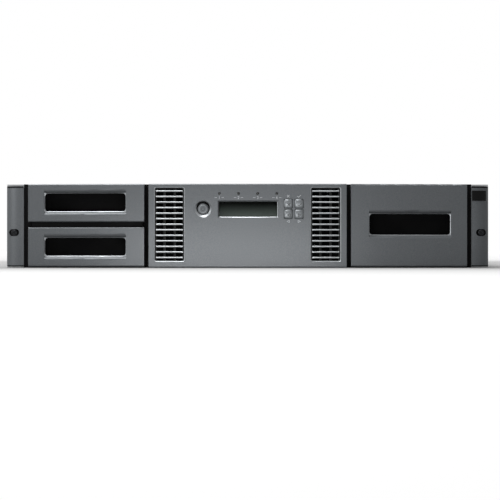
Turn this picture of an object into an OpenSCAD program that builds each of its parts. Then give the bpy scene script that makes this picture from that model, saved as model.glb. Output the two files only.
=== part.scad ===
// Rack-mounted tape library, two rack units high: a bowed front with two cartridge magazines and a
// mailslot that pull out, a robot in the aisle between them, and a tape drive and power supply behind.
// +X is to the right as one faces the front, the front looks along -Y and +Z is up.

/* [Cartridge cells] */
// Cells in one row of a magazine
columns = 4; // [2:1:4]
// Rows of cells in a magazine
rows = 3; // [2:1:3]
// Width of a cell along the magazine
cell_w = 104.5; // [104:0.1:106]
// Depth of a cell from the aisle to the outer wall
cell_d = 108; // [107:0.5:109]
// Height of a cell
cell_h = 23.5; // [23:0.1:24]
// Thickness of the dividers between columns
divider_t = 3; // [2:0.25:4]
// Thickness of the shelves between rows
shelf_t = 1.6; // [1.2:0.1:2]
// Thickness of a magazine's outer wall
mag_wall = 2.5; // [2:0.25:3.5]

/* [Chassis] */
// Gauge of the chassis sheet
sheet = 1.2; // [0.8:0.1:1.6]
// Gap between a chassis wall and the middle of the rack slot beside it
post_gap = 9.55; // [9:0.05:10.5]
// Room between a magazine and the chassis wall, for its guide and lip
side_room = 6.8; // [6:0.2:8]
// Height of the guides under the magazines
guide_h = 1.9; // [1.5:0.1:2.5]
// Room above the magazines
head_room = 1.5; // [1:0.1:4]
// Distance from the rack posts back to the first cells
mag_inset = 24.5; // [23:0.5:32]
// Room between the drive and the back of the chassis, for its cables
cable_room = 22.75; // [20:0.25:40]
// Side vent slots in one row
vent_n = 18; // [6:1:22]
// Spacing of the side vent slots
vent_pitch = 9; // [7:0.5:10]
// Length of a side vent slot
vent_l = 40; // [20:1:50]
// Width of a side vent slot
vent_w = 3; // [2:0.25:4]

/* [Bowed front] */
// Radius of the bow of the front, seen from above
bow_r = 2400; // [1500:50:5000]
// How far the middle of the front stands out from the rack posts
bezel_proud = 23.9; // [22:0.1:30]
// How far the side panels sit back from the middle one
side_set_back = 2; // [0:0.1:2.5]
// Width of the dark seams between the panels
seam = 4.6; // [3:0.1:6]
// How far a side panel laps over its magazine towards the middle
lap_in = 2.1; // [1:0.1:3]
// How far a side panel laps over its magazine towards the rack post
lap_out = 3.1; // [1:0.1:4]
// Wall of the front mouldings
panel_wall = 2.5; // [1.5:0.1:3]
// Radius of the long edges of the front mouldings
edge_r = 1.4; // [0.8:0.1:2]
// Gap under the side panels
panel_foot = 1.1; // [0.8:0.1:2]
// Top of the lower left panel
lower_top = 40.1; // [38:0.1:41]
// Bottom of the mailslot panel
mail_bottom = 45.5; // [43:0.1:47]
// Depth of the black frame behind the panels
frame_d = 8; // [6:0.5:9]

/* [Handles] */
// Width of a handle recess
grip_w = 81.8; // [70:0.1:84]
// Height of the left handle recesses
grip_h = 18.8; // [16:0.1:19]
// Height of the right handle recess
right_grip_h = 21.6; // [16:0.1:30]
// Depth of a handle recess behind the panel's face
grip_deep = 22; // [18:0.5:24]
// Radius of the rounded lips of a recess
lip_r = 4; // [2:0.1:4.5]
// Radius of the corners of a recess
grip_corner = 2.2; // [1.2:0.1:3]
// Wall of the black cup in a recess
cup_wall = 1.2; // [0.8:0.1:1.5]
// How far the middle of a recess lies outside the middle of its front
grip_shift = 0.95; // [-2:0.05:3]
// Height of the middle of the lower left recess
lower_grip_z = 20.8; // [19:0.1:22]
// Height of the middle of the mailslot recess
mail_grip_z = 64.9; // [64:0.1:66]
// Height of the middle of the right recess
right_grip_z = 43.1; // [35:0.1:48]

/* [Grilles] */
// Width of a grille opening
grille_w = 30.3; // [24:0.1:32]
// Height of a grille opening
grille_h = 74; // [60:0.5:75]
// Middle of a grille, across from the middle of the library
grille_x = 77.2; // [76:0.1:78]
// Height of the middle of a grille
grille_z = 43; // [42:0.1:44]
// Slats in a grille
slat_n = 13; // [8:1:14]
// Thickness of a slat
slat_t = 1.5; // [1.2:0.1:2.4]
// Depth of a slat
slat_d = 9; // [6:0.5:10]
// Radius of the rounded ends of a slat
slat_end_r = 2.4; // [1.5:0.1:2.5]

/* [Display and buttons] */
// Width of the display window
lcd_w = 58.5; // [50:0.5:60]
// Height of the display window
lcd_h = 15.6; // [12:0.1:17]
// Bevel round the display window
lcd_bevel = 0.9; // [0.5:0.1:1.2]
// Middle of the display, across from the middle of the library
lcd_x = 0.5; // [-1:0.1:1]
// Height of the middle of the display
lcd_z = 57.9; // [57:0.1:59]
// Status lights in the row above the display
led_n = 4; // [2:1:4]
// Diameter of a status light
led_dia = 2.7; // [2:0.1:3.2]
// Spacing of the status lights
led_pitch = 18.9; // [12:0.1:19.5]
// Height of the status lights
led_z = 73.3; // [72:0.1:74]
// Diameter of the power button
button_dia = 10.6; // [9:0.1:11]
// Diameter of the dished ring round the power button
ring_dia = 16.4; // [16:0.1:18]
// Power button, across from the middle of the library
button_x = -43.9; // [-45:0.1:-42.5]
// Height of the power button
button_z = 58; // [54:0.1:62]
// Travel of the power button
button_travel = 1.2; // [0.5:0.1:1.5]
// Width of a key
key_w = 8.4; // [7:0.1:8.8]
// Height of a key
key_h = 9; // [7:0.1:9.2]
// Spacing of the keys across
key_pitch_x = 10.6; // [10.2:0.1:11.5]
// Spacing of the keys in height
key_pitch_z = 10.3; // [10:0.1:11.5]
// Middle of the four keys, across from the middle of the library
key_x = 45.5; // [44.5:0.1:46]
// Height of the middle of the four keys
key_z = 58.2; // [56:0.1:60]
// How far the keys stand out in front of the bow
key_proud = 0.6; // [0.4:0.1:1]
// Travel of a key
key_travel = 0.6; // [0.3:0.1:0.8]
// Thickness of the circuit boards
board_t = 1.6; // [1:0.1:2]

/* [Rack ears] */
// Spacing of the rack holes across, as the 19 inch rack has it
hole_spacing = 465.1; // [465.1:0.1:465.1]
// Steel of an ear beyond the middle of its slot
ear_margin = 7.85; // [7:0.05:8.75]
// Thickness of the steel ears
ear_t = 2; // [1.5:0.1:3]
// Gauge of the ears' legs along the chassis
leg_t = 1.5; // [1:0.1:2]
// Length of the ears' legs
leg_l = 60; // [40:1:90]
// Length of the slot in an ear
slot_l = 10.3; // [9:0.1:11]
// Width of the slot in an ear
slot_w = 7; // [6:0.1:7.5]
// Height of the slot's middle
slot_z = 35; // [33:0.1:37]
// How far an ear cap stands out from the rack posts
cap_proud = 10; // [8:0.1:12]
// How far the cap's outer edge stands out
cap_edge = 3; // [2.5:0.1:5]
// Radius of the cap's rounding
cap_round = 20; // [16:0.5:30]
// Steel left bare above the cap
cap_top = 2; // [1:0.1:3]
// Steel left bare below the cap
cap_foot = 1.3; // [1:0.1:3]
// Wall of the cap
cap_wall = 1.8; // [1.2:0.1:2.4]
// Height of the blank badge plate
badge_h = 10; // [6:0.5:12]
// Thickness of the badge plate
badge_t = 0.6; // [0.4:0.1:1]
// Height of the middle of the badge plate
badge_z = 71.6; // [60:0.1:72]

/* [Robot] */
// Module of the teeth
tooth = 1.25; // [1.25:0.05:1.25]
// Teeth on the turntable
turn_teeth = 116; // [112:1:116]
// Teeth on the two pinions
pinion_teeth = 16; // [16:1:18]
// Thickness of the robot's plates
plate_t = 1.2; // [1:0.1:1.2]
// Gap between the robot's sled and the magazines beside it
sled_room = 10.5; // [9:0.1:11.5]
// Diameter of the lift's guide rods and of its screw
rod_dia = 6; // [5:0.5:8]
// Travel of the screw's nut in one turn
screw_lead = 8; // [4:1:10]
// Reach of the picker
pick_reach = 88; // [60:1:90]

/* [Tape drive and back] */
// Width of the tape drive, half height form
drive_w = 146; // [146:1:148]
// Height of the tape drive
drive_h = 41.3; // [40:0.1:43]
// Length of the tape drive
drive_d = 205; // [195:1:210]
// Distance from the robot's middle to the drive's mouth
drive_reach = 105; // [104:0.5:110]
// Width of the cartridge mouth
mouth_w = 104; // [103:0.5:106]
// Height of the cartridge mouth
mouth_h = 23; // [22.5:0.1:24]
// Width of the power supply
psu_w = 88; // [80:1:92]
// Length of the power supply
psu_d = 190; // [150:5:200]
// Size of the fans' square frames
fan_size = 40; // [36:1:40]
// Depth of the fans
fan_d = 15; // [10:1:20]
// Blades on a fan
blade_n = 7; // [5:1:9]
// How far the thumbscrews stand out from the back
rear_proud = 8.5; // [7:0.5:14]

/* [Fits] */
// Gap between flat parts that slide past each other
slide_gap = 0.3; // [0.2:0.05:0.4]
// Gap round a shaft that turns or slides in its hole
run_gap = 0.05; // [0.02:0.01:0.08]
// Gap round a part that is pressed or snapped into its seat
seat_gap = 0.1; // [0.05:0.05:0.2]

/* [Hidden] */
$fn = 64;
bow_fn = 1440;

// Colours
c_silver = [0.44, 0.455, 0.465];
c_black = [0.045, 0.045, 0.05];
c_steel = [0.62, 0.63, 0.64];
c_zinc = [0.72, 0.73, 0.72];
c_board = [0.05, 0.3, 0.16];

// Heights
mag_h = rows * cell_h + (rows + 1) * shelf_t;
body_h = 2 * sheet + guide_h + slide_gap + mag_h + head_room;
mag_z = sheet + guide_h + slide_gap;
row_pitch = cell_h + shelf_t;
cell_z = mag_z + shelf_t;
under_cover = body_h - sheet;

// Widths, each from the middle of the library
slot_x = hole_spacing / 2;
wall_out = slot_x - post_gap;
wall_in = wall_out - sheet;
mag_out = wall_in - side_room;
aisle_half = mag_out - mag_wall - cell_d;
panel_in = aisle_half - lap_in;
panel_out = mag_out + lap_out;
centre_half = panel_in - seam;
cap_in = panel_out + seam;
grip_x = (panel_in + panel_out) / 2 + grip_shift;
ear_out = slot_x + ear_margin;

// Depths, worked back from the rack posts
column_pitch = cell_w + divider_t;
mag_l = columns * column_pitch + divider_t;
last_cell = mag_inset + divider_t + (columns - 1) * column_pitch + cell_w / 2;
chassis_d = last_cell + drive_reach + drive_d + cable_room;
total_d = key_proud + bezel_proud + chassis_d + rear_proud;
y_front = -total_d / 2;
bow_y = y_front + key_proud;
y_rack = bow_y + bezel_proud;
y_back = y_rack + chassis_d;
y_mag = y_rack + mag_inset;
y_mag_end = y_mag + mag_l;
y_robot = y_rack + last_cell;
y_drive = y_robot + drive_reach;
y_frame = y_rack - frame_d;
panel_back = y_frame - slide_gap;
mail_back = panel_back - slide_gap;
ear_face = y_rack - ear_t;

// Where the bowed face is at a given distance from the middle
function face_y(x, set_back = 0) = bow_y + bow_r - sqrt(pow(bow_r - set_back, 2) - x * x);

// Sweeps a section round the bow from x0 to x1; the section's x is the depth behind the face, its y the height
module bowed(set_back, x0, x1) {
  r = bow_r - set_back;
  a0 = asin((x0 - 4) / r);
  a1 = asin((x1 + 4) / r);
  translate([0, bow_y + bow_r, 0])
    rotate([0, 0, 270 + a0])
      rotate_extrude(angle = a1 - a0, $fn = bow_fn)
        translate([r, 0])
          mirror([1, 0])
            children();
}

// A section with its two front corners rounded
module soft_section(depth, h, r) {
  translate([r, 0]) square([depth - r, h]);
  translate([0, r]) square([depth, h - 2 * r]);
  translate([r, r]) circle(r);
  translate([r, h - r]) circle(r);
}

// A box given by its two corners
module box(lo, hi) translate(lo) cube(hi - lo);

// A front moulding, hollow behind and open at its back plane
module front_panel(x0, x1, z0, z1, set_back, back) {
  deep = 30;
  difference() {
    intersection() {
      bowed(set_back, x0, x1) translate([0, z0]) soft_section(deep, z1 - z0, edge_r);
      box([x0, y_front - 1, z0], [x1, back, z1]);
    }
    intersection() {
      bowed(set_back + panel_wall, x0, x1)
        translate([0, z0 + panel_wall]) square([deep, z1 - z0 - 2 * panel_wall]);
      box([x0 + panel_wall, y_front, z0], [x1 - panel_wall, back + 1, z1]);
    }
  }
}

// The section of a recess whose upper and lower lips are rounded
module flared_section(h) {
  translate([-1, -h / 2]) square([lip_r + 1.01, h]);
  for (s = [-1, 1])
    scale([1, s])
      difference() {
        translate([-1, h / 2 - 0.5]) square([lip_r + 1, lip_r + 0.5]);
        translate([lip_r, h / 2 + lip_r]) circle(lip_r);
        translate([lip_r, h / 2 - 0.5]) square([1, lip_r + 2]);
      }
}

// A rectangle with rounded corners, seen from the front and reaching back from y0 to y1
module front_block(x, z, w, h, r, y0, y1) {
  translate([x, y1, z])
    rotate([90, 0, 0])
      linear_extrude(y1 - y0)
        rounded(w, h, r);
}

module rounded(w, h, r) {
  square([w, h - 2 * r], center = true);
  square([w - 2 * r, h], center = true);
  for (x = [-1, 1], y = [-1, 1])
    translate([x * (w / 2 - r), y * (h / 2 - r)]) circle(r);
}

// The block of moulding that the recess is cut in
module grip_collar(x, z, h, set_back, back) {
  intersection() {
    bowed(set_back + 1, x - grip_w / 2 - 8, x + grip_w / 2 + 8)
      translate([0, z - h / 2 - lip_r - 1]) square([30, h + 2 * lip_r + 2]);
    box([x - grip_w / 2 - cup_wall - 1.5, y_front, 0], [x + grip_w / 2 + cup_wall + 1.5, back, body_h]);
  }
}

// The lips end this much short of where they would run out into the face
lip_end = 0.3;

// What is cut away for the recess: the lips in front, the seat of the cup behind
module grip_cut(x, z, h, set_back) {
  intersection() {
    bowed(set_back, x - grip_w / 2, x + grip_w / 2) translate([0, z]) flared_section(h);
    front_block(x, z, grip_w, h + 2 * (lip_r - lip_end), grip_corner, y_front - 2, y_rack);
  }
  intersection() {
    bowed(set_back + lip_r, x - grip_w / 2, x + grip_w / 2)
      translate([0, z - h]) square([30, 2 * h]);
    front_block(x, z, grip_w + 2 * cup_wall + 2 * seat_gap, h + 2 * cup_wall + 2 * seat_gap, cup_wall + seat_gap,
                y_front, y_rack);
  }
}

// The black cup that lines a recess, its front edge following the bow
module grip_cup(x, z, h, set_back) {
  w = grip_w + 2 * cup_wall;
  difference() {
    intersection() {
      bowed(set_back + lip_r + seat_gap, x - w / 2, x + w / 2)
        translate([0, z - h]) square([grip_deep - lip_r + cup_wall, 2 * h]);
      front_block(x, z, w, h + 2 * cup_wall, cup_wall, y_front, y_rack + 40);
    }
    intersection() {
      bowed(set_back + lip_r - 2, x - grip_w / 2, x + grip_w / 2)
        translate([0, z - h]) square([grip_deep - lip_r + 2, 2 * h]);
      front_block(x, z, grip_w, h, grip_corner, y_front, y_rack + 40);
    }
  }
}

// ---- Chassis ----

module slot_shape(l, w) {
  square([l - w, w], center = true);
  for (s = [-1, 1]) translate([s * (l - w) / 2, 0]) circle(w / 2);
}

screw_n = 5;
screw_z = under_cover - 5.8;
function screw_y(i) = y_rack + 90 + i * (chassis_d - 130) / (screw_n - 1);
screw_r = 1.5;
leg_screw_n = 3;
function leg_screw_z(i) = body_h / 2 + (i - 1) * 24;
leg_screw_y = y_rack + leg_l * 0.55;

module chassis_base() color(c_zinc) {
  vent_y = y_back - 60;
  difference() {
    union() {
      box([-wall_out, y_rack, 0], [wall_out, y_back, sheet]);
      for (s = [-1, 1])
        scale([s, 1, 1])
          box([wall_in, y_rack, 0], [wall_out, y_back, under_cover]);
    }
    for (i = [0 : vent_n - 1])
      translate([-wall_out - 1, vent_y - i * vent_pitch, body_h / 2])
        rotate([90, 0, 90])
          linear_extrude(2 * wall_out + 2)
            rotate(90) slot_shape(vent_l, vent_w);
    for (i = [0 : screw_n - 1])
      translate([-wall_out - 1, screw_y(i), screw_z])
        rotate([0, 90, 0]) cylinder(r = screw_r + seat_gap, h = 2 * wall_out + 2);
    for (i = [0 : leg_screw_n - 1])
      translate([-wall_out - 1, leg_screw_y, leg_screw_z(i)])
        rotate([0, 90, 0]) cylinder(r = screw_r + seat_gap, h = 2 * wall_out + 2);
  }
}

lip_h = 11;

module top_cover() color(c_zinc) {
  difference() {
    union() {
      box([-wall_out, y_rack, under_cover], [wall_out, y_back, body_h]);
      for (s = [-1, 1])
        scale([s, 1, 1])
          box([wall_in - seat_gap - sheet, y_rack + 2, under_cover - lip_h],
              [wall_in - seat_gap, y_back - sheet - 13, under_cover + 0.1]);
    }
    for (i = [0 : screw_n - 1])
      translate([-wall_out - 1, screw_y(i), screw_z])
        rotate([0, 90, 0]) cylinder(r = screw_r + seat_gap, h = 2 * wall_out + 2);
    for (x = flush_screw_x)
      translate([x, y_back - 7, under_cover - 1]) {
        cylinder(r = screw_r + seat_gap, h = 4);
        translate([0, 0, 1]) cylinder(r1 = screw_r + seat_gap, r2 = screw_r + seat_gap + 1.6, h = sheet + 0.01);
      }
  }
}

flush_screw_x = [-190, -95, 95, 190];

module chassis_screws() color(c_steel) {
  for (s = [-1, 1], i = [0 : screw_n - 1])
    translate([s * wall_out, screw_y(i), screw_z])
      rotate([0, -90 * s, 0]) {
        translate([0, 0, -0.9]) cylinder(r = 3, h = 0.9);
        cylinder(r = screw_r, h = 4);
      }
  for (x = flush_screw_x)
    translate([x, y_back - 7, under_cover]) {
      cylinder(r1 = screw_r, r2 = screw_r + 1.4, h = sheet);
      translate([0, 0, -3.5]) cylinder(r = screw_r, h = 3.6);
    }
  for (s = [-1, 1], i = [0 : leg_screw_n - 1])
    translate([s * (wall_out + leg_t), leg_screw_y, leg_screw_z(i)])
      rotate([0, -90 * s, 0]) {
        translate([0, 0, -0.5]) cylinder(r = 2.8, h = 0.5);
        cylinder(r = screw_r, h = 5);
      }
}

// ---- Back ----

sled_half = drive_w / 2 + 3;
sled_top = sheet + slide_gap + drive_h + 3;
thumb_z = 24;
psu_x = wall_in - 8 - psu_w / 2;
psu_h = under_cover - sheet - 5;
psu_z = sheet + slide_gap;
control_w = 120;
board_side = 10;
port_x = -wall_in + board_side + control_w / 2;
port_z = 14;
fan_hole_r = fan_size / 2 - 1.8;

module rear_panel() color(c_zinc) {
  y0 = y_back - sheet;
  x = wall_in - seat_gap;
  difference() {
    union() {
      box([-x, y0, sheet], [x, y_back, under_cover]);
      box([-x, y0 - 12, under_cover - sheet], [x, y0 + 0.1, under_cover]);
    }
    box([-sled_half - 0.5, y0 - 0.1, 0], [sled_half + 0.5, y_back + 1, sled_top + 0.5]);
    box([psu_x - psu_w / 2 - 0.5, y0 - 0.1, 0], [psu_x + psu_w / 2 + 0.5, y_back + 1, psu_z + psu_h + 0.5]);
    box([port_x - 33, y0 - 1, port_z - 1.5], [port_x + 33, y_back + 1, port_z + 15.5]);
    for (i = [0 : 9])
      front_block(-sled_half - 106 + i * 9, under_cover - 32, 4, 34, 1.9, y0 - 1, y_back + 1);
    for (i = [0 : 11])
      front_block(-sled_half + 24 + i * 10, sled_top + 16.5, 5, 22, 2.4, y0 - 1, y_back + 1);
    for (x = flush_screw_x)
      translate([x, y_back - 7, under_cover - sheet - 1]) cylinder(r = screw_r + seat_gap, h = 4);
    for (s = [-1, 1])
      translate([s * (sled_half + 5.5), y0 - 1, thumb_z]) rotate([-90, 0, 0]) cylinder(r = screw_r + seat_gap, h = 4);
  }
}

// ---- Rack ears ----

module ear_slot() {
  translate([slot_x, y_rack + 1, slot_z])
    rotate([90, 0, 0])
      linear_extrude(cap_proud + 5)
        slot_shape(slot_l, slot_w);
}

module rack_ear() {
  difference() {
    union() {
      box([wall_out, ear_face, 0], [ear_out, y_rack, body_h]);
      box([wall_out, y_rack - 0.1, 5], [wall_out + leg_t, y_rack + leg_l, body_h - 5]);
    }
    ear_slot();
    for (i = [0 : leg_screw_n - 1])
      translate([wall_out - 1, leg_screw_y, leg_screw_z(i)])
        rotate([0, 90, 0]) cylinder(r = screw_r + seat_gap, h = 5);
  }
}

module rack_ear_left() color(c_steel) mirror([1, 0, 0]) rack_ear();
module rack_ear_right() color(c_steel) rack_ear();

// Middle of the cap's rounding, so that it meets the flat front and the thin outer edge
cap_mid = ear_out - sqrt(pow(cap_round, 2) - pow(cap_round - cap_proud + cap_edge, 2));

// The cap's outline seen from above, grown or shrunk by the given amount
module cap_plan(shrink = 0) {
  y0 = y_rack - cap_proud + shrink;
  translate([cap_in + shrink, y0]) square([cap_mid - cap_in - shrink, cap_proud + 1]);
  intersection() {
    translate([cap_mid, y_rack - cap_proud + cap_round]) circle(cap_round - shrink, $fn = 180);
    translate([cap_mid - 0.1, y0 - 1]) square([ear_out - cap_mid + 0.1 - shrink, cap_proud + 2]);
  }
}

module ear_cap() {
  z0 = cap_foot;
  z1 = body_h - cap_top;
  difference() {
    intersection() {
      translate([0, 0, z0]) linear_extrude(z1 - z0) cap_plan();
      translate([cap_in - 1, ear_face, z0])
        rotate([90, 0, 90])
          linear_extrude(ear_out - cap_in + 2)
            mirror([1, 0])
              translate([cap_proud - ear_t, 0]) mirror([1, 0]) soft_section(cap_proud - ear_t, z1 - z0, edge_r);
    }
    difference() {
      intersection() {
        translate([0, 0, z0 + cap_wall]) linear_extrude(z1 - z0 - 2 * cap_wall) cap_plan(cap_wall);
        box([cap_in, y_front, 0], [ear_out, ear_face + 1, body_h]);
      }
      translate([slot_x, y_rack, slot_z])
        rotate([90, 0, 0]) linear_extrude(cap_proud + 1) slot_shape(slot_l + 3, slot_w + 3);
    }
    ear_slot();
  }
}

module ear_cap_left() color(c_silver) mirror([1, 0, 0]) ear_cap();
module ear_cap_right() color(c_silver) ear_cap();

// A thin blank plate that follows the cap's rounding
module badge_plate() color(c_black) {
  z0 = badge_z - badge_h / 2;
  translate([0, 0, z0])
    linear_extrude(badge_h)
      difference() {
        intersection() {
          cap_plan(-badge_t);
          translate([cap_in + 0.6, y_front]) square([ear_out - cap_in - 3.2, bezel_proud]);
        }
        cap_plan(0);
        translate([cap_in - 2, y_rack - cap_proud]) square([cap_mid - cap_in + 2, 30]);
      }
}

// ---- Front frame and centre panel ----

open_gap = 0.6;
web_t = 3;

module bezel_frame() color(c_black) {
  post_in = aisle_half - open_gap;
  post_out = mag_out + open_gap;
  z0 = mag_z - open_gap - 0.2;
  z1 = mag_z + mag_h + open_gap + 0.1;
  difference() {
    box([-cap_in, y_frame, 0], [cap_in, y_rack, body_h]);
    for (s = [-1, 1])
      scale([s, 1, 1])
        box([post_in, y_frame - 1, z0], [post_out, y_rack + 1, z1]);
    box([-centre_half + 4, y_frame - 1, 4], [centre_half - 4, y_rack - web_t, body_h - 4]);
    for (s = [-1, 1])
      front_block(s * (grille_x - 3), grille_z, grille_w - 6, grille_h - 8, 3, y_frame, y_rack + 1);
    front_block(0, 14, 40, 9, 3, y_frame, y_rack + 1);
  }
  for (x = [-1, 1], z = [board_z0 + 5, board_z1 - 5])
    translate([x * (board_half - 5), y_rack - web_t + 0.1, z])
      rotate([90, 0, 0])
        cylinder(r = 2.6, h = y_rack - web_t - board_back + 0.1);
}

module grille_opening(s) {
  front_block(s * grille_x, grille_z, grille_w, grille_h, 2, y_front - 1, y_frame);
}

lcd_glass_t = 2;
lcd_glass_y = face_y(lcd_w / 2 + 3, panel_wall) + 0.05;
board_half = 58;
board_z0 = 24;
board_z1 = 79;
board_y = y_frame - 4.5;
board_back = board_y + board_t;

module centre_shell() front_panel(-centre_half, centre_half, 0, body_h, 0, y_frame);

// The window's cut, bevelled on all four sides
module lcd_cut() {
  y0 = face_y(0) - 0.5;
  translate([lcd_x, 0, lcd_z])
    intersection() {
      translate([0, 0, -lcd_h])
        linear_extrude(2 * lcd_h)
          bevel_plan(lcd_w / 2, y0);
      rotate([0, 90, 0])
        translate([0, 0, -lcd_w])
          linear_extrude(2 * lcd_w)
            bevel_plan(lcd_h / 2, y0);
    }
}

// Half widths: wide at the face, narrowing over the bevel, then straight
module bevel_plan(half, y0) {
  wide = half + lcd_bevel + 0.5;
  polygon([[-wide, y0], [wide, y0], [half, y0 + lcd_bevel + 0.5], [half, y_frame],
           [-half, y_frame], [-half, y0 + lcd_bevel + 0.5]]);
}

function led_x(i) = lcd_x + (i - (led_n - 1) / 2) * led_pitch;
key_hole = 0.25;

module center_bezel() color(c_silver) {
  difference() {
    centre_shell();
    for (s = [-1, 1]) grille_opening(s);
    lcd_cut();
    for (i = [0 : led_n - 1])
      translate([led_x(i), y_frame, led_z])
        rotate([90, 0, 0]) cylinder(r = led_dia / 2 + seat_gap, h = 40);
    translate([button_x, y_frame, button_z])
      rotate([90, 0, 0]) cylinder(r = ring_dia / 2 + seat_gap, h = 40);
    for (a = [-1, 1], b = [-1, 1])
      front_block(key_x + a * key_pitch_x / 2, key_z + b * key_pitch_z / 2,
                  key_w + 2 * key_hole, key_h + 2 * key_hole, 1.2, y_front - 1, y_frame);
  }
}

// One grille: slats that follow the bow, tied by rails behind the opening's edges and by two ribs
module grille(s) {
  x0 = grille_x - grille_w / 2;
  x1 = grille_x + grille_w / 2;
  z0 = grille_z - grille_h / 2;
  pitch = grille_h / (slat_n + 0.5);
  rail_y = face_y(x1 + 1.5, panel_wall) + seat_gap;
  back = rail_y + slat_d - panel_wall;
  ring_top = body_h - panel_wall - seat_gap;
  mirror([s < 0 ? 1 : 0, 0, 0]) {
    intersection() {
      bowed(0.3, x0, x1)
        for (i = [0 : slat_n - 1])
          translate([0, z0 + (i + 0.75) * pitch - slat_t / 2]) {
            translate([slat_t / 2, 0]) square([slat_d + 2, slat_t]);
            translate([slat_t / 2, slat_t / 2]) circle(slat_t / 2);
          }
      translate([0, 0, z0 - 1])
        linear_extrude(grille_h + 2)
          slat_plan(x0 + 0.4, x1 - 0.4, face_y(grille_x, 0.2), back);
    }
    for (x = [x0 + 0.4, x1 - 2.4, x0 + grille_w / 3 - 1, x0 + 2 * grille_w / 3 - 1])
      box([x, rail_y + 0.6, z0 + 1], [x + 2, back, z0 + grille_h - 1]);
    for (z = [z0 - 1.2, ring_top - 2])
      box([x0 - 1.5, rail_y, z], [x1 + 1.5, rail_y + 2.5, z + 2]);
    for (x = [x0 - 1.5, x1 - 0.5])
      box([x, rail_y, z0 - 1.2], [x + 2, rail_y + 2.5, ring_top]);
  }
}

// Seen from above: rounded at the front ends
module slat_plan(x0, x1, y0, y1) {
  r = slat_end_r;
  translate([x0 + r, y0 - 2]) square([x1 - x0 - 2 * r, y1 - y0 + 2]);
  translate([x0, y0 + r]) square([x1 - x0, y1 - y0 - r]);
  for (x = [x0 + r, x1 - r]) translate([x, y0 + r]) circle(r);
}

module left_grille() color(c_silver) grille(-1);
module right_grille() color(c_silver) grille(1);

module lcd_window() color([0.06, 0.07, 0.07]) {
  front_block(lcd_x, lcd_z, lcd_w + 5, lcd_h + 5, 1, lcd_glass_y, lcd_glass_y + lcd_glass_t);
}

module lcd_module() color([0.1, 0.12, 0.11]) {
  y0 = lcd_glass_y + lcd_glass_t + 0.2;
  front_block(lcd_x, lcd_z, lcd_w + 3, lcd_h + 4, 0.8, y0, y0 + 3);
  front_block(lcd_x, lcd_z, lcd_w + 6, lcd_h + 5, 0.5, y0 + 2.9, board_y);
}

module status_leds() color([0.08, 0.09, 0.08]) {
  for (i = [0 : led_n - 1])
    translate([led_x(i), 0, led_z])
      rotate([90, 0, 0])
        translate([0, 0, -board_y])
          cylinder(r = led_dia / 2, h = board_y - face_y(led_x(i), 0.2));
}

ring_y = face_y(button_x);
ring_d = 4;

module button_ring() color(c_silver) {
  translate([button_x, ring_y, button_z])
    rotate([90, 0, 0])
      rotate_extrude()
        difference() {
          translate([button_dia / 2 + 0.35, -ring_d]) square([ring_dia / 2 - button_dia / 2 - 0.35, ring_d]);
          translate([button_dia / 2, 0]) circle(ring_dia / 2 - button_dia / 2 - 0.2);
        }
}

module power_button() color(c_silver) {
  r = button_dia / 2;
  y1 = board_y - switch_h - button_travel - slide_gap;
  translate([button_x, ring_y + 0.3, button_z])
    rotate([90, 0, 0])
      rotate_extrude() {
        translate([0, -ring_d - 0.5]) square([r, ring_d - 0.5]);
        translate([0, -1.5]) square([r - 1, 1.5]);
        translate([r - 1, -1]) circle(1);
        translate([0, -ring_d - 1]) square([r + 1.6, 1]);
        translate([0, ring_y + 0.3 - y1]) square([2, y1 - ring_y - 4]);
      }
}

switch_h = 1.2;

module key(a, b) {
  x = key_x + a * key_pitch_x / 2;
  z = key_z + b * key_pitch_z / 2;
  cap_d = 4.4;
  front_block(x, z, key_w, key_h, 1, y_front, y_front + cap_d);
  front_block(x, z, 3, 3, 0.5, y_front + cap_d - 0.1, board_y - switch_h - key_travel - slide_gap);
}

module key_up_left() color(c_silver) key(-1, 1);
module key_up_right() color(c_silver) key(1, 1);
module key_down_left() color(c_silver) key(-1, -1);
module key_down_right() color(c_silver) key(1, -1);

module panel_board() color(c_board) {
  box([-board_half, board_y, board_z0], [board_half, board_back, board_z1]);
  for (a = [-1, 1], b = [-1, 1])
    front_block(key_x + a * key_pitch_x / 2, key_z + b * key_pitch_z / 2, 6, 6, 0.5,
                board_y - switch_h, board_y + 0.1);
  front_block(button_x, button_z, 6, 6, 0.5, board_y - switch_h, board_y + 0.1);
  front_block(-8, 33, 30, 8, 0.5, board_y - 2.4, board_y + 0.1);
  front_block(22, 33, 9, 9, 0.5, board_y - 1.4, board_y + 0.1);
}

// ---- Magazines ----

nose_plate = 2;
tray_floor = cell_z + (rows - 1) * row_pitch - shelf_t + 0.15;
tray_ledge = tray_floor - slide_gap;

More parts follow.
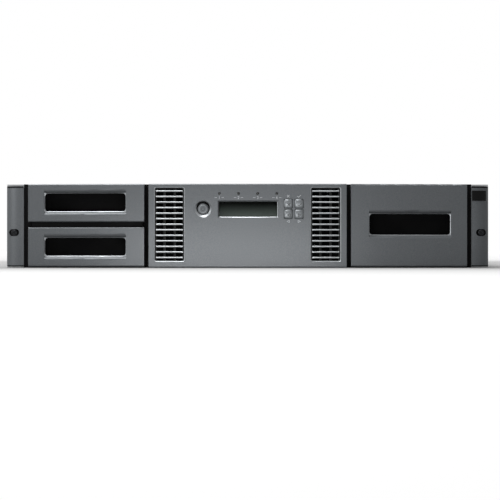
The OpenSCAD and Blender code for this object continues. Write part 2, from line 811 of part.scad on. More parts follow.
// One magazine, drawn on the right; with a mailslot its top front cell is left to the mailslot's tray
module magazine(mail, z, h) {
  top = mag_z + mag_h;
  y_cell = y_mag + divider_t;
  y_col = y_mag + column_pitch;
  plate_top = mail ? tray_ledge : top;
  difference() {
    union() {
      for (i = [0 : rows])
        shelf(mag_z + i * row_pitch, mail && i == rows - 1 ? y_col : y_mag);
      for (j = [0 : columns])
        divider(y_mag + j * column_pitch, mail && j == 0 ? tray_ledge : top);
      box([mag_out - mag_wall, panel_back, mag_z], [mag_out, y_mag_end, top]);
      box([aisle_half, panel_back, mag_z], [mag_out, y_mag + 1, mag_z + shelf_t]);
      box([aisle_half, panel_back, top - shelf_t], [mag_out, y_mag + 1, top]);
      box([aisle_half, panel_back, mag_z], [aisle_half + 1.5, y_mag + 1, mail ? tray_ledge : top]);
      box([aisle_half, panel_back, mag_z], [mag_out, panel_back + nose_plate, plate_top]);
      if (mail) {
        box([aisle_half, panel_back, tray_ledge - shelf_t], [mag_out, y_mag + 1, tray_ledge]);
        for (x = [aisle_half, mag_out - mag_wall - 3])
          box([x, y_mag, tray_ledge - shelf_t], [x + 3.1, y_col + 1, tray_ledge]);
      }
      lock_tongue();
    }
    front_block(grip_x, z, grip_w + 2 * cup_wall + 0.4, h + 2 * cup_wall + 0.4, cup_wall, y_front, y_rack);
    for (i = [0 : rows - 1], j = [0 : columns - 1])
      translate([mag_out - mag_wall - 1, y_cell + j * column_pitch + cell_w / 2, mag_z + i * row_pitch + 8])
        rotate([90, 0, 90]) linear_extrude(mag_wall + 2) slot_shape(56, 7);
    translate([lock_x - 1, y_lock, lock_z]) rotate([0, 90, 0]) cylinder(r = lock_r + 0.2, h = 9);
  }
}

// A shelf, cut away at each cell's mouth so that the picker's fingers can pass
module shelf(z, y0) {
  difference() {
    box([aisle_half, y0, z], [mag_out, y_mag_end, z + shelf_t]);
    for (j = [0 : columns - 1])
      translate([aisle_half - 10, y_mag + divider_t + j * column_pitch + cell_w / 2, z - 1])
        linear_extrude(shelf_t + 2) rounded(2 * shelf_notch, 60, 6);
  }
}

shelf_notch = 22;

// A divider whose edge towards the aisle is rounded
module divider(y, z1) {
  r = divider_t / 2;
  translate([0, y + r, mag_z])
    linear_extrude(z1 - mag_z) {
      translate([aisle_half + r, 0]) circle(r);
      translate([aisle_half + r, -r]) square([cell_d + mag_wall - r, divider_t]);
    }
}

lock_r = 2;
lock_x = mag_out - 5.5;
lock_t = 3;
lock_z = mag_z + 5;
y_lock = y_mag_end + 8;

module lock_tongue() {
  box([lock_x, y_mag_end - 1, mag_z], [lock_x + lock_t, y_lock + 6, lock_z + 5]);
}

// Leaf springs at the outer wall that keep the cartridges from sliding out
module cell_springs(mail) {
  half = 20;
  bulge = 3;
  r = (half * half + bulge * bulge) / (2 * bulge);
  a = asin(half / r);
  for (i = [0 : rows - 1], j = [0 : columns - 1])
    if (!(mail && i == rows - 1 && j == 0))
      translate([mag_out - mag_wall - bulge + r - 0.02, y_mag + divider_t + j * column_pitch + cell_w / 2,
                 cell_z + i * row_pitch + cell_h - 10])
        rotate([0, 0, 180 - a]) rotate_extrude(angle = 2 * a) translate([r - 0.01, 0]) square([0.5, 7]);
}

module left_magazine_body() color(c_black) mirror([1, 0, 0]) magazine(true, lower_grip_z, grip_h);
module right_magazine_body() color(c_black) magazine(false, right_grip_z, right_grip_h);
module left_cell_springs() color(c_steel) mirror([1, 0, 0]) cell_springs(true);
module right_cell_springs() color(c_steel) cell_springs(false);

module side_front(x0, x1, z0, z1, x, z, h, back) {
  difference() {
    union() {
      front_panel(x0, x1, z0, z1, side_set_back, back);
      grip_collar(x, z, h, side_set_back, back);
    }
    grip_cut(x, z, h, side_set_back);
  }
}

module left_magazine_front() color(c_silver)
  side_front(-panel_out, -panel_in, panel_foot, lower_top, -grip_x, lower_grip_z, grip_h, panel_back);
module mailslot_front() color(c_silver)
  side_front(-panel_out, -panel_in, mail_bottom, body_h, -grip_x, mail_grip_z, grip_h, mail_back);
module right_magazine_front() color(c_silver)
  side_front(panel_in, panel_out, panel_foot, body_h, grip_x, right_grip_z, right_grip_h, panel_back);
module left_grip() color(c_black) grip_cup(-grip_x, lower_grip_z, grip_h, side_set_back);
module mailslot_grip() color(c_black) grip_cup(-grip_x, mail_grip_z, grip_h, side_set_back);
module right_grip() color(c_black) grip_cup(grip_x, right_grip_z, right_grip_h, side_set_back);

// The mailslot's tray: one cell on two arms that reach forward to its panel
module mailslot_tray() color(c_black) mirror([1, 0, 0]) {
  t = 1.5;
  x0 = aisle_half + 0.3;
  x1 = mag_out - mag_wall - slide_gap;
  y1 = y_mag + column_pitch - slide_gap;
  z1 = mag_z + mag_h - shelf_t - slide_gap;
  difference() {
    union() {
      box([x0, mail_back, tray_floor], [x1, y1, tray_floor + t - 0.3]);
      box([x1 - t, mail_back, tray_floor], [x1, y1, z1]);
      box([x0, y_mag, tray_floor], [x1, y_mag + divider_t - 0.2, z1]);
      box([x0, y1 - t, tray_floor], [x1, y1, z1]);
      box([x0, mail_back, tray_floor], [x0 + t, y_mag + 1, z1]);
      box([x0, mail_back, tray_floor], [x1, mail_back + nose_plate, z1]);
    }
    front_block(grip_x, mail_grip_z, grip_w + 2 * cup_wall + 0.4, grip_h + 2 * cup_wall + 0.4, cup_wall,
                y_front, y_mag - 2);
    translate([aisle_half - 10, y_mag + divider_t + cell_w / 2, tray_floor - 1])
      linear_extrude(4) rounded(2 * shelf_notch, 60, 6);
  }
}

// ---- Guides and locks ----

guide_w = 6;

module magazine_guides() color(c_zinc) {
  for (s = [-1, 1])
    scale([s, 1, 1]) {
      for (x = [aisle_half + 4, mag_out - guide_w - 8])
        box([x, y_rack + 6, sheet], [x + guide_w, y_mag_end - 2, sheet + guide_h]);
      box([aisle_half + 4, y_mag_end - 2, sheet], [aisle_half + 14, y_mag_end + 12, sheet + guide_h]);
      box([aisle_half + 4, y_mag_end + slide_gap, sheet], [aisle_half + 14, y_mag_end + 2.3, sheet + 14]);
    }
}

coil_x = lock_x - 3;
coil_l = 26;
coil_w = 13;

module lock_solenoids() color([0.35, 0.3, 0.2]) {
  for (s = [-1, 1])
    scale([s, 1, 1])
      difference() {
        union() {
          box([coil_x - coil_l, y_lock - coil_w / 2, sheet], [coil_x, y_lock + coil_w / 2, lock_z + 6]);
          box([coil_x - coil_l + 4, y_lock - coil_w / 2 - 3, sheet], [coil_x - 4, y_lock + coil_w / 2 + 5, sheet + 1]);
        }
        translate([coil_x - coil_l + 5, y_lock, lock_z]) rotate([0, 90, 0]) cylinder(r = lock_r + run_gap, h = coil_l);
      }
}

lock_travel = 4;

module lock_plunger() {
  x0 = coil_x - coil_l + 5.5;
  translate([x0, y_lock, lock_z]) rotate([0, 90, 0]) cylinder(r = lock_r, h = lock_x - slide_gap - x0);
}

module left_lock_plunger() color(c_steel) mirror([1, 0, 0]) lock_plunger();
module right_lock_plunger() color(c_steel) lock_plunger();

// ---- Robot ----

// Pressure angle of the involute teeth
pressure = 20;

// Angle of roll at which an involute reaches a radius, in degrees
function roll(rb, r) = r <= rb ? 0 : sqrt(pow(r / rb, 2) - 1) * 180 / PI;

// A spur gear's outline with stub teeth, one tooth centred on +X
module gear_shape(n, backlash = 0.12, steps = 4) {
  rp = tooth * n / 2;
  rb = rp * cos(pressure);
  ra = rp + 0.8 * tooth;
  rf = rp - 1.15 * tooth;
  r0 = max(rb, rf + 0.05);
  half = 90 / n - backlash / rp * 90 / PI;
  inv_p = (tan(pressure) * 180 / PI - pressure);
  function flank(i) =
    let (r = r0 + (ra - r0) * i / steps, t = roll(rb, r), a = t - atan(t * PI / 180))
    [r, half + inv_p - a];
  polygon([for (k = [0 : n - 1])
             let (c = 360 * k / n)
             each concat(
               [[rf * cos(c - flank(0)[1]), rf * sin(c - flank(0)[1])]],
               [for (i = [0 : steps]) let (f = flank(i)) [f[0] * cos(c - f[1]), f[0] * sin(c - f[1])]],
               [for (i = [steps : -1 : 0]) let (f = flank(i)) [f[0] * cos(c + f[1]), f[0] * sin(c + f[1])]],
               [[rf * cos(c + flank(0)[1]), rf * sin(c + flank(0)[1])]])]);
}

turn_r = tooth * turn_teeth / 2;
turn_tip = turn_r + 0.8 * tooth;
pinion_r = tooth * pinion_teeth / 2;
rack_pitch = PI * tooth;
travel_l = (columns - 1) * column_pitch;
sled_x = aisle_half - sled_room;
sled_y = column_pitch - 31.5;
rod_x = sled_x - 10;
rod_y = sled_y - 10;
web_x = sled_x - 24;
deck_x = web_x + 6;
deck_y = rod_y - 8;
deck_z = sheet + slide_gap;
disc_z = deck_z + plate_t + slide_gap;
disc_t = 1;
bed_z = cell_z;
bush_z0 = deck_z + 7;
bush_z1 = deck_z + 13;
lift_l = (rows - 1) * row_pitch;
motor_z = bush_z1 + lift_l + 2;
top_bar = under_cover - 0.6 - plate_t;
pinion_x = sled_x - 8;
rack_x = pinion_x + pinion_r;
// Where the turntable's pinion sits, and how far it is turned to mesh
turn_angle = 45;
turn_c = turn_r + pinion_r;
// The rack's teeth are placed so that a gap meets the travel pinion's tooth
rack_y0 = y_rack + 6;
rack_y1 = y_robot + sled_y + 4;

module robot_rails() color(c_zinc) {
  z1 = sheet + 3;
  w = 4;
  y0 = y_robot - rod_y;
  n_down = floor((y0 - rack_y0) / rack_pitch - 1);
  n_up = floor((rack_y1 - y0) / rack_pitch - 1);
  tip = rack_pitch / 4 - 0.06 - 0.8 * tooth * tan(pressure);
  foot = rack_pitch / 4 - 0.06 + 1.15 * tooth * tan(pressure);
  translate([rack_x, y0, sheet])
    linear_extrude(z1 - sheet)
      polygon(concat(
        [[1.15 * tooth + w, rack_y1 - y0], [1.15 * tooth + w, rack_y0 - y0], [1.15 * tooth, rack_y0 - y0]],
        [for (k = [-n_down : n_up])
           let (c = (k + 0.5) * rack_pitch)
           each [[1.15 * tooth, c - foot], [-0.8 * tooth, c - tip], [-0.8 * tooth, c + tip], [1.15 * tooth, c + foot]]],
        [[1.15 * tooth, rack_y1 - y0]]));
  box([-rack_x - w, rack_y0, sheet], [-sled_x - slide_gap, rack_y1, z1]);
}

// The sled: a flat frame on the floor, two guide rods, two webs and a bridge over each end
module robot_sled() color(c_steel) translate([0, y_robot, 0]) {
  z0 = deck_z;
  rail = sled_x - 4;
  difference() {
    union() {
      for (s = [-1, 1]) {
        scale([s, 1, 1]) box([rail - 10, -sled_y, z0], [rail, sled_y, z0 + plate_t]);
        scale([1, s, 1]) box([-rail, sled_y - 15, z0], [rail, sled_y, z0 + plate_t]);
        scale([1, s, 1]) box([-sled_x, sled_y - 20, top_bar], [sled_x, sled_y, top_bar + plate_t]);
        scale([s, 1, 1]) box([web_x, -sled_y, z0], [web_x + plate_t, -sled_y + 14, top_bar + 0.1]);
        translate([s * rod_x, rod_y, z0]) cylinder(r = rod_dia / 2, h = top_bar - z0 + 0.1);
      }
      box([web_x, -sled_y, motor_plate_z], [sled_x, -deck_y - 0.4, motor_plate_z + plate_t]);
    }
    translate([-rod_x, -rod_y, z0 - 1]) cylinder(r = journal_r + run_gap, h = plate_t + 2);
    translate([pinion_x, -rod_y, z0 - 1]) cylinder(r = pinion_r + tooth + 0.6, h = plate_t + 2);
    translate([pinion_x, -rod_y, motor_plate_z - 1]) cylinder(r = 3, h = plate_t + 2);
  }
}

motor_plate_z = sheet + 4.3;
journal_r = rod_dia / 2 - 1;
motor_r = 8;
shaft_r = 1.5;

module travel_motor() color(c_black) translate([pinion_x, y_robot - rod_y, 0]) {
  z0 = motor_plate_z + plate_t;
  difference() {
    union() {
      translate([0, 0, z0]) cylinder(r = motor_r, h = 24);
      translate([0, 0, z0 + 23.9]) cylinder(r = 3, h = 2);
    }
    translate([0, 0, z0 - 1]) cylinder(r = shaft_r + run_gap, h = 13);
  }
}

module travel_pinion() color(c_zinc) translate([pinion_x, y_robot - rod_y, 0]) {
  translate([0, 0, deck_z]) linear_extrude(sheet + 3 - deck_z) gear_shape(pinion_teeth);
  translate([0, 0, deck_z + 0.1]) cylinder(r = shaft_r, h = motor_plate_z + plate_t + 10 - deck_z);
}

module lift_motor() color(c_black) translate([-rod_x, y_robot - rod_y, 0]) {
  difference() {
    translate([0, 0, motor_z]) cylinder(r = 10, h = top_bar - motor_z);
    translate([0, 0, motor_z - 1]) cylinder(r = journal_r + run_gap, h = top_bar - motor_z - 1);
  }
}

module lift_screw() color(c_steel) translate([-rod_x, y_robot - rod_y, 0]) {
  z0 = deck_z + plate_t + 0.3;
  translate([0, 0, deck_z]) cylinder(r = journal_r, h = top_bar - 3 - deck_z);
  translate([0, 0, z0]) cylinder(r = rod_dia / 2, h = motor_z - 0.4 - z0);
}

boss_r = rod_dia / 2 + 2.5;
turn_motor_r = 6.2;
turn_motor_z0 = disc_z + disc_t + 0.8;
turn_motor_l = 15;
turn_motor_z1 = turn_motor_z0 + turn_motor_l;

// The lift frame: a deck under the turntable, carried at its corners by bushes on the rods and the screw
module lift_frame() color(c_steel) translate([0, y_robot, 0]) {
  tab_x = deck_x - 6.5;
  tab_y = deck_y - plate_t;
  tx = turn_c * cos(turn_angle);
  ty = turn_c * sin(turn_angle);
  difference() {
    union() {
      box([-deck_x, -deck_y, deck_z], [deck_x, deck_y, deck_z + plate_t]);
      translate([0, 0, deck_z]) cylinder(r = hub_r, h = disc_z + disc_t - 0.1 - deck_z);
      for (c = [[1, 1], [-1, 1], [-1, -1]])
        scale([c[0], c[1], 1]) {
          box([tab_x, tab_y, deck_z], [deck_x, deck_y, bush_z1]);
          box([tab_x + 3, tab_y, bush_z0], [rod_x, rod_y - 4, bush_z0 + 3]);
          box([rod_x - 6, rod_y - 6, bush_z0], [rod_x + 3, rod_y, bush_z0 + 3]);
          translate([rod_x, rod_y, bush_z0]) cylinder(r = boss_r, h = bush_z1 - bush_z0);
        }
      box([tab_x, tab_y, deck_z], [deck_x, deck_y, turn_motor_z1 + plate_t]);
      box([tx - turn_motor_r, tab_y, turn_motor_z1], [deck_x, ty + turn_motor_r, turn_motor_z1 + plate_t]);
    }
    for (s = [-1, 1])
      translate([s * rod_x, rod_y, 0]) cylinder(r = rod_dia / 2 + run_gap, h = 40);
    translate([-rod_x, -rod_y, 0]) cylinder(r = rod_dia / 2 + run_gap, h = 40);
  }
}

hub_r = 6;

module turn_motor() color(c_black)
  translate([turn_c * cos(turn_angle), y_robot + turn_c * sin(turn_angle), 0])
    difference() {
      translate([0, 0, turn_motor_z0]) cylinder(r = turn_motor_r, h = turn_motor_z1 - turn_motor_z0);
      translate([0, 0, turn_motor_z0 - 1]) cylinder(r = 1 + run_gap, h = 9);
    }

// Where the turntable's teeth stand at the mesh, as a share of one tooth
mesh_part = turn_angle * turn_teeth / 360 - floor(turn_angle * turn_teeth / 360);

module turn_pinion() color(c_zinc)
  translate([turn_c * cos(turn_angle), y_robot + turn_c * sin(turn_angle), disc_z])
    rotate([0, 0, turn_angle + 180 + (mesh_part - 0.5) * 360 / pinion_teeth]) {
      linear_extrude(disc_t) gear_shape(pinion_teeth);
      cylinder(r = 1, h = turn_motor_z0 - disc_z + 7);
    }

bed_half = 53;
bed_front = 52;
bed_back = 50;
bed_wall = 1.2;
bed_top = bed_z + cell_h + 0.5;

// The turntable: a toothed disc with a bed for one cartridge between two side walls
module turntable() color(c_zinc) translate([0, y_robot, 0]) {
  difference() {
    union() {
      translate([0, 0, disc_z]) linear_extrude(disc_t) gear_shape(turn_teeth, steps = 1);
      for (s = [-1, 1])
        scale([s, 1, 1]) {
          box([bed_half - bed_wall, -bed_back, disc_z + disc_t + 0.4], [bed_half, bed_front, bed_top]);
          box([bed_half - bed_wall, -bed_back + 5, disc_z + 0.5], [bed_half, bed_front - 7, bed_top]);
          box([bed_half - 14, -30, disc_z + 0.5], [bed_half - 11, bed_front, bed_z]);
        }
      box([-bed_half, -bed_back, bed_top - 1], [bed_half, bed_front - 12, bed_top]);
    }
    translate([0, 0, disc_z - 1]) cylinder(r = hub_r + run_gap, h = disc_t + 2);
    translate([0, 0, bed_top - 2]) linear_extrude(4) rounded(70, 60, 8);
    for (s = [-1, 1])
      translate([s * (bed_half - bed_wall / 2), 0, (bed_top + disc_z) / 2 + 2])
        rotate([90, 0, 90]) linear_extrude(4, center = true) slot_shape(70, 9);
  }
}

// The picker: a carriage at the back of the bed with two fingers that reach forward past a cartridge
module picker() color(c_black) translate([0, y_robot, 0]) {
  z0 = bed_z + slide_gap;
  w = bed_half - bed_wall - slide_gap;
  tip = drive_reach - 2 - pick_reach;
  difference() {
    box([-w, -bed_back + 1, z0], [w, -bed_back + 15, bed_top - 1.4]);
    box([-w + 8, -bed_back + 5, z0 + 5], [w - 8, -bed_back + 16, bed_top]);
  }
  for (s = [-1, 1])
    scale([s, 1, 1]) {
      box([w - 1.2, -bed_back + 2, z0 + 8], [w, tip - 3, z0 + 15]);
      translate([w - 1.2, tip - 3, z0 + 8])
        linear_extrude(7) polygon([[0, -0.1], [1.2, -0.1], [1.2, 3], [-1.6, 2.2], [-1.6, 1.4]]);
    }
}

module barcode_reader() color([0.1, 0.1, 0.12]) translate([0, y_robot, 0]) {
  difference() {
    box([bed_half, -16, disc_z + disc_t + 1], [bed_half + 12, 16, disc_z + disc_t + 19]);
    box([bed_half + 3, 12, disc_z + disc_t + 6], [bed_half + 10, 17, disc_z + disc_t + 14]);
  }
}

// ---- Tape drive and its sled ----

drive_z = sheet + slide_gap + 1.2;
drive_end = y_drive + drive_d;
mouth_z = cell_z - 0.5;
mouth_deep = cell_d + 4;

module drive_sled() color(c_zinc) {
  z0 = sheet + slide_gap;
  t = 1.2;
  x = drive_w / 2 + 0.6;
  plate_y = y_back + slide_gap;
  difference() {
    union() {
      box([-x - t, y_drive + 12, z0], [x + t, plate_y, z0 + t]);
      for (s = [-1, 1])
        scale([s, 1, 1]) box([x, y_drive + 12, z0], [x + t, plate_y, z0 + drive_h + 2]);
      box([-sled_half - 10, plate_y, z0], [sled_half + 10, plate_y + 1.5, z0 + drive_h + 5]);
      box([-30, plate_y, 36], [-26, plate_y + 7.9, 40]);
      box([26, plate_y, 36], [30, plate_y + 7.9, 40]);
      box([-30, plate_y + 5, 36], [30, plate_y + 7.9, 40]);
    }
    translate([drive_fan_x, plate_y - 1, drive_fan_z])
      rotate([-90, 0, 0]) linear_extrude(4) fan_slots();
    front_block(20, 20, 24, 9, 1, plate_y - 1, plate_y + 3);
    front_block(52, 20, 16, 12, 1, plate_y - 1, plate_y + 3);
    for (i = [0 : 14])
      for (s = [-1, 1])
        scale([s, 1, 1])
          translate([x - 1, y_drive + 40 + i * 10, z0 + drive_h / 2])
            rotate([90, 0, 90]) linear_extrude(4) rotate(90) slot_shape(18, 3);
    for (s = [-1, 1])
      translate([s * (sled_half + 5.5), plate_y - 1, thumb_z])
        rotate([-90, 0, 0]) cylinder(r = screw_r + seat_gap, h = 4);
  }
}

drive_fan_x = -42;
drive_fan_z = sheet + slide_gap + 1.3 + fan_size / 2;

// Rings of slots over a fan, crossed by four spokes
module fan_slots() {
  difference() {
    for (r = [fan_hole_r : -4.5 : 6])
      difference() {
        circle(r);
        circle(r - 3);
      }
    for (a = [45, 135]) rotate(a) square([2 * fan_hole_r + 2, 2.2], center = true);
  }
}

module drive_body() color([0.3, 0.31, 0.32]) {
  z1 = drive_z + drive_h;
  difference() {
    box([-drive_w / 2, y_drive, drive_z], [drive_w / 2, drive_end, z1]);
    box([-mouth_w / 2, y_drive - 1, mouth_z], [mouth_w / 2, y_drive + mouth_deep, mouth_z + mouth_h]);
    box([-mouth_w / 2 - 1.5, y_drive - 1, mouth_z - 0.5],
        [mouth_w / 2 + 1.5, y_drive + mouth_h + 5, mouth_z + mouth_h + 3]);
    translate([0, y_drive + 1.8, door_z])
      rotate([0, 90, 0]) cylinder(r = door_pin_r + run_gap, h = mouth_w + 10, center = true);
    for (i = [0 : 7])
      box([-50 + i * 14, y_drive + 60, z1 - 0.6], [-44 + i * 14, y_drive + 150, z1 + 1]);
  }
}

door_pin_r = 1;
door_z = mouth_z + mouth_h + 1.4;

// The drive's flap, hung from a pin above the mouth
module drive_door() color(c_black) {
  x = mouth_w / 2 + 1.2;
  translate([0, y_drive + 1.8, door_z])
    rotate([0, 90, 0]) {
      cylinder(r = door_pin_r, h = mouth_w + 9, center = true);
      cylinder(r = door_pin_r + 0.25, h = 2 * x - 0.4, center = true);
    }
  box([-x + 0.2, y_drive + 1.3, mouth_z + 0.2], [x - 0.2, y_drive + 2.3, door_z]);
}

module thumbscrews() color(c_steel) {
  y0 = y_back + slide_gap + 1.5;
  for (s = [-1, 1])
    translate([s * (sled_half + 5.5), 0, thumb_z])
      rotate([-90, 0, 0]) {
        translate([0, 0, y0]) cylinder(r = 4.2, h = y_back + rear_proud - y0);
        translate([0, 0, y0 - 5]) cylinder(r = screw_r, h = 5.1);
      }
}

// ---- Power supply and fans ----

psu_fan_x = psu_x + psu_w / 2 - fan_size / 2 - 5;
psu_fan_z = psu_z + psu_h / 2 + 3;
inlet_x = psu_x - psu_w / 2 + 22;
inlet_z = 24;
hub_pin_r = 1.5;

module psu_case() color(c_zinc) {
  t = 1;
  y0 = y_back - psu_d;
  y1 = y_back + 1.5;
  x0 = psu_x - psu_w / 2;
  x1 = psu_x + psu_w / 2;
  z1 = psu_z + psu_h;
  difference() {
    union() {
      box([x0, y0, psu_z], [x1, y1 - 0.2, z1]);
      box([x0 - 4, y_back, psu_z], [x1 + 4, y1, z1 + 2]);
      box([x0 + 60, y_back, 10], [x0 + 64, y_back + 7.5, 14]);
      box([x0 + 60, y_back, 28], [x0 + 64, y_back + 7.5, 32]);
      box([x0 + 60, y_back + 4.5, 10], [x0 + 64, y_back + 7.5, 32]);
    }
    box([x0 + t, y_back - fan_d - 3, psu_z + t], [x1 - t, y_back, z1 - t]);
    translate([psu_fan_x, y_back - 1, psu_fan_z]) rotate([-90, 0, 0]) linear_extrude(4) fan_slots();
    front_block(inlet_x, inlet_z, 28, 21, 2.5, y_back - 1, y_back + 4);
    for (i = [0 : 7])
      front_block(x0 + 10 + i * 10, psu_z + psu_h / 2, 5, 50, 2.4, y0 - 1, y0 + 2);
  }
}

// The inlet: a moulded socket with three flat pins
module mains_inlet() color(c_black) {
  y1 = y_back + 1.5;
  difference() {
    union() {
      front_block(inlet_x, inlet_z, 27.6, 20.6, 2.3, y_back - 16, y1 + 0.5);
      front_block(inlet_x, inlet_z, 31, 24, 3, y1, y1 + 1.6);
    }
    front_block(inlet_x, inlet_z, 24.4, 16.6, 3, y_back - 13, y1 + 2);
  }
  for (p = [[-7, -1.5], [0, 3], [7, -1.5]])
    front_block(inlet_x + p[0], inlet_z + p[1], 2, 4, 0.4, y_back - 14, y_back - 1);
}

// A square frame with a round duct, three struts and the pin that carries the rotor
module fan_frame(x, y, z) {
  translate([x, y, z])
    rotate([-90, 0, 0]) {
      difference() {
        translate([0, 0, 0]) linear_extrude(fan_d) rounded(fan_size, fan_size, 2);
        translate([0, 0, -1]) cylinder(r = fan_hole_r, h = fan_d + 2);
      }
      for (a = [30, 150, 270]) rotate(a) box([0, -1.2, 0], [fan_hole_r + 0.5, 1.2, 2]);
      cylinder(r = 8, h = 2);
      cylinder(r = hub_pin_r, h = fan_d - 4);
    }
}

module fan_rotor(x, y, z) {
  hub = 8;
  h = fan_d - 5;
  translate([x, y, z])
    rotate([-90, 0, 0])
      translate([0, 0, 2.5])
        difference() {
          union() {
            cylinder(r = hub, h = h);
            intersection() {
              for (k = [0 : blade_n - 1])
                rotate(360 * k / blade_n)
                  translate([hub - 1, 0, h / 2])
                    rotate([35, 0, 0])
                      box([0, -7, -0.5], [fan_hole_r - hub + 2, 7, 0.5]);
              translate([0, 0, 0.5]) cylinder(r = fan_hole_r - 0.8, h = h - 1);
            }
          }
          translate([0, 0, -1]) cylinder(r = hub_pin_r + run_gap, h = h + 0.2);
        }
}

drive_fan_y = y_back + slide_gap - seat_gap - fan_d;
psu_fan_y = y_back - fan_d - 0.3;

module fan_frames() color(c_black) {
  fan_frame(drive_fan_x, drive_fan_y, drive_fan_z);
  fan_frame(psu_fan_x, psu_fan_y, psu_fan_z);
}

module drive_fan_rotor() color(c_black) fan_rotor(drive_fan_x, drive_fan_y, drive_fan_z);
module psu_fan_rotor() color(c_black) fan_rotor(psu_fan_x, psu_fan_y, psu_fan_z);

// ---- Controller ----

module controller_board() color(c_board) {
  x0 = port_x - control_w / 2;
  x1 = port_x + control_w / 2;
  y0 = y_back - psu_d;
  y1 = y_back - sheet - 1;
  z0 = port_z - board_t;
  box([x0, y0, z0], [x1, y1, port_z]);
  for (x = [x0 + 6, x1 - 6], y = [y0 + 8, y1 - 14])
    translate([x, y, sheet]) cylinder(r = 3, h = z0 - sheet);
  front_socket(port_x - 20, 16, 13.4, 11.8, 8);
  front_socket(port_x, 16, 13.4, 11.8, 8);
  front_socket(port_x + 20, 14, 8, 12.2, 5.2);
  box([x0 + 30, y0 + 30, port_z], [x0 + 66, y0 + 66, port_z + 12]);
  for (i = [0 : 3])
    translate([x0 + 90, y0 + 30 + i * 18, port_z]) cylinder(r = 5, h = 14);
  box([x0 + 12, y0 + 90, port_z], [x0 + 18, y0 + 150, port_z + 9]);
}

socket_d = 20;
socket_wall = 5;

// A socket on the board that looks out through the back
module front_socket(x, w, h, mouth, mouth_tall) {
  y1 = y_back - 0.2;
  mouth_y = y1 - socket_d + socket_wall;
  mouth_z = port_z + (h - mouth_tall) / 2;
  difference() {
    box([x - w / 2, y1 - socket_d, port_z], [x + w / 2, y1, port_z + h]);
    box([x - mouth / 2, mouth_y, mouth_z], [x + mouth / 2, y1 + 1, mouth_z + mouth_tall]);
  }
}

chassis_base();
top_cover();
chassis_screws();
rear_panel();
rack_ear_left();
rack_ear_right();
ear_cap_left();
ear_cap_right();
badge_plate();
bezel_frame();
center_bezel();
left_grille();
right_grille();
lcd_window();
lcd_module();
status_leds();
button_ring();
power_button();
key_up_left();
key_up_right();
key_down_left();
key_down_right();
panel_board();
mailslot_front();
mailslot_grip();
mailslot_tray();
left_magazine_front();
left_grip();
left_magazine_body();
left_cell_springs();
right_magazine_front();
right_grip();
right_magazine_body();
right_cell_springs();
magazine_guides();
lock_solenoids();
left_lock_plunger();
right_lock_plunger();
robot_rails();
robot_sled();
travel_motor();
travel_pinion();
lift_motor();
lift_screw();
lift_frame();
turn_motor();
turn_pinion();
turntable();
picker();
barcode_reader();
drive_sled();
drive_body();
drive_door();
thumbscrews();
fan_frames();
drive_fan_rotor();
psu_case();
psu_fan_rotor();
mains_inlet();
controller_board();
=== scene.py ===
# %% [markdown]
# # A tape library for a 19 inch rack, dressed for its portrait
#
# The engineering model arrives with every part in place: a bowed front with two magazines and a
# mailslot, a robot in the aisle behind it, a tape drive and a power supply at the back. This lesson
# gives each part the material it is made of and adds what is too fine for the engineering model:
# cushioned keys, lamp lenses, printed marks and screw heads. Then come a floor, soft studio light
# and a camera.
#
# Everything is in metres. +X is to the right as one faces the front, the front looks along -Y, and
# +Z is up. The model's own box is kept, because the finished picture may not outgrow it.

# %% Load the engineering model
import math

import bpy
import numpy as np
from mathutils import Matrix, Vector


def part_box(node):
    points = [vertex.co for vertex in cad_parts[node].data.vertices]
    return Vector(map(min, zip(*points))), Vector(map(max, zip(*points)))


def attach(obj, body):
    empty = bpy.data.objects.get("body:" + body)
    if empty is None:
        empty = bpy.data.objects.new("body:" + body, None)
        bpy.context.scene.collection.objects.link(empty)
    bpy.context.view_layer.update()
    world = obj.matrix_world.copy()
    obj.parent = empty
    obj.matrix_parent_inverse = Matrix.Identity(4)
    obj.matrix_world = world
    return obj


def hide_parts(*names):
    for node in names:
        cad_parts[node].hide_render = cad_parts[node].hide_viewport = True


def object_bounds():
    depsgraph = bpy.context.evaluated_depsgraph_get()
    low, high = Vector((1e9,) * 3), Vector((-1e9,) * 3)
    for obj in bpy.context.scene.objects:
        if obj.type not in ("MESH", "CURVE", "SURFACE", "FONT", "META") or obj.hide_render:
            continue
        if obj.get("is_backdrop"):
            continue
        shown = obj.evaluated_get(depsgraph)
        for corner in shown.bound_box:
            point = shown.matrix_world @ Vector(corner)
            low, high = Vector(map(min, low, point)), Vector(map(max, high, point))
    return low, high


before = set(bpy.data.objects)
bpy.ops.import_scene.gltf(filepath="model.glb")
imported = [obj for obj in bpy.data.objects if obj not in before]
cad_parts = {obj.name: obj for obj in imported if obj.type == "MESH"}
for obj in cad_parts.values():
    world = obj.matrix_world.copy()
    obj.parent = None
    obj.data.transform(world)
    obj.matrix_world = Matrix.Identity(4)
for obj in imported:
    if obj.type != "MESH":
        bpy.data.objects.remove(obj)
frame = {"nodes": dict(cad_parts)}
node = frame["nodes"]
cad_low, cad_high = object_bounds()
mm = 0.001
print("nodes", len(node), "size in mm", [round((b - a) / mm, 1) for a, b in zip(cad_low, cad_high)])

# %% [markdown]
# ## Colours and shader nodes
#
# Colours are written the way screens write them, as six hexadecimal digits. Light adds up in linear
# values, so one function turns the one into the other: a channel c becomes c / 12.92 when it is at
# most 0.04045, and ((c + 0.055) / 1.055) ** 2.4 above that.
#
# One short function adds a shader node, sets its options and wires its inputs. An input is given a
# value, another node's output, or another node, of which the first output in use counts. Where an
# input has a number, the order is the one on the node: a MapRange takes a value (0), the ends of its
# range (1, 2) and what they become (3, 4), and a Mix takes its share (0) and two colours (6, 7).
# Patterns read the object's own coordinates, so a noise 3 mm across has a scale of 1 / 3 mm.

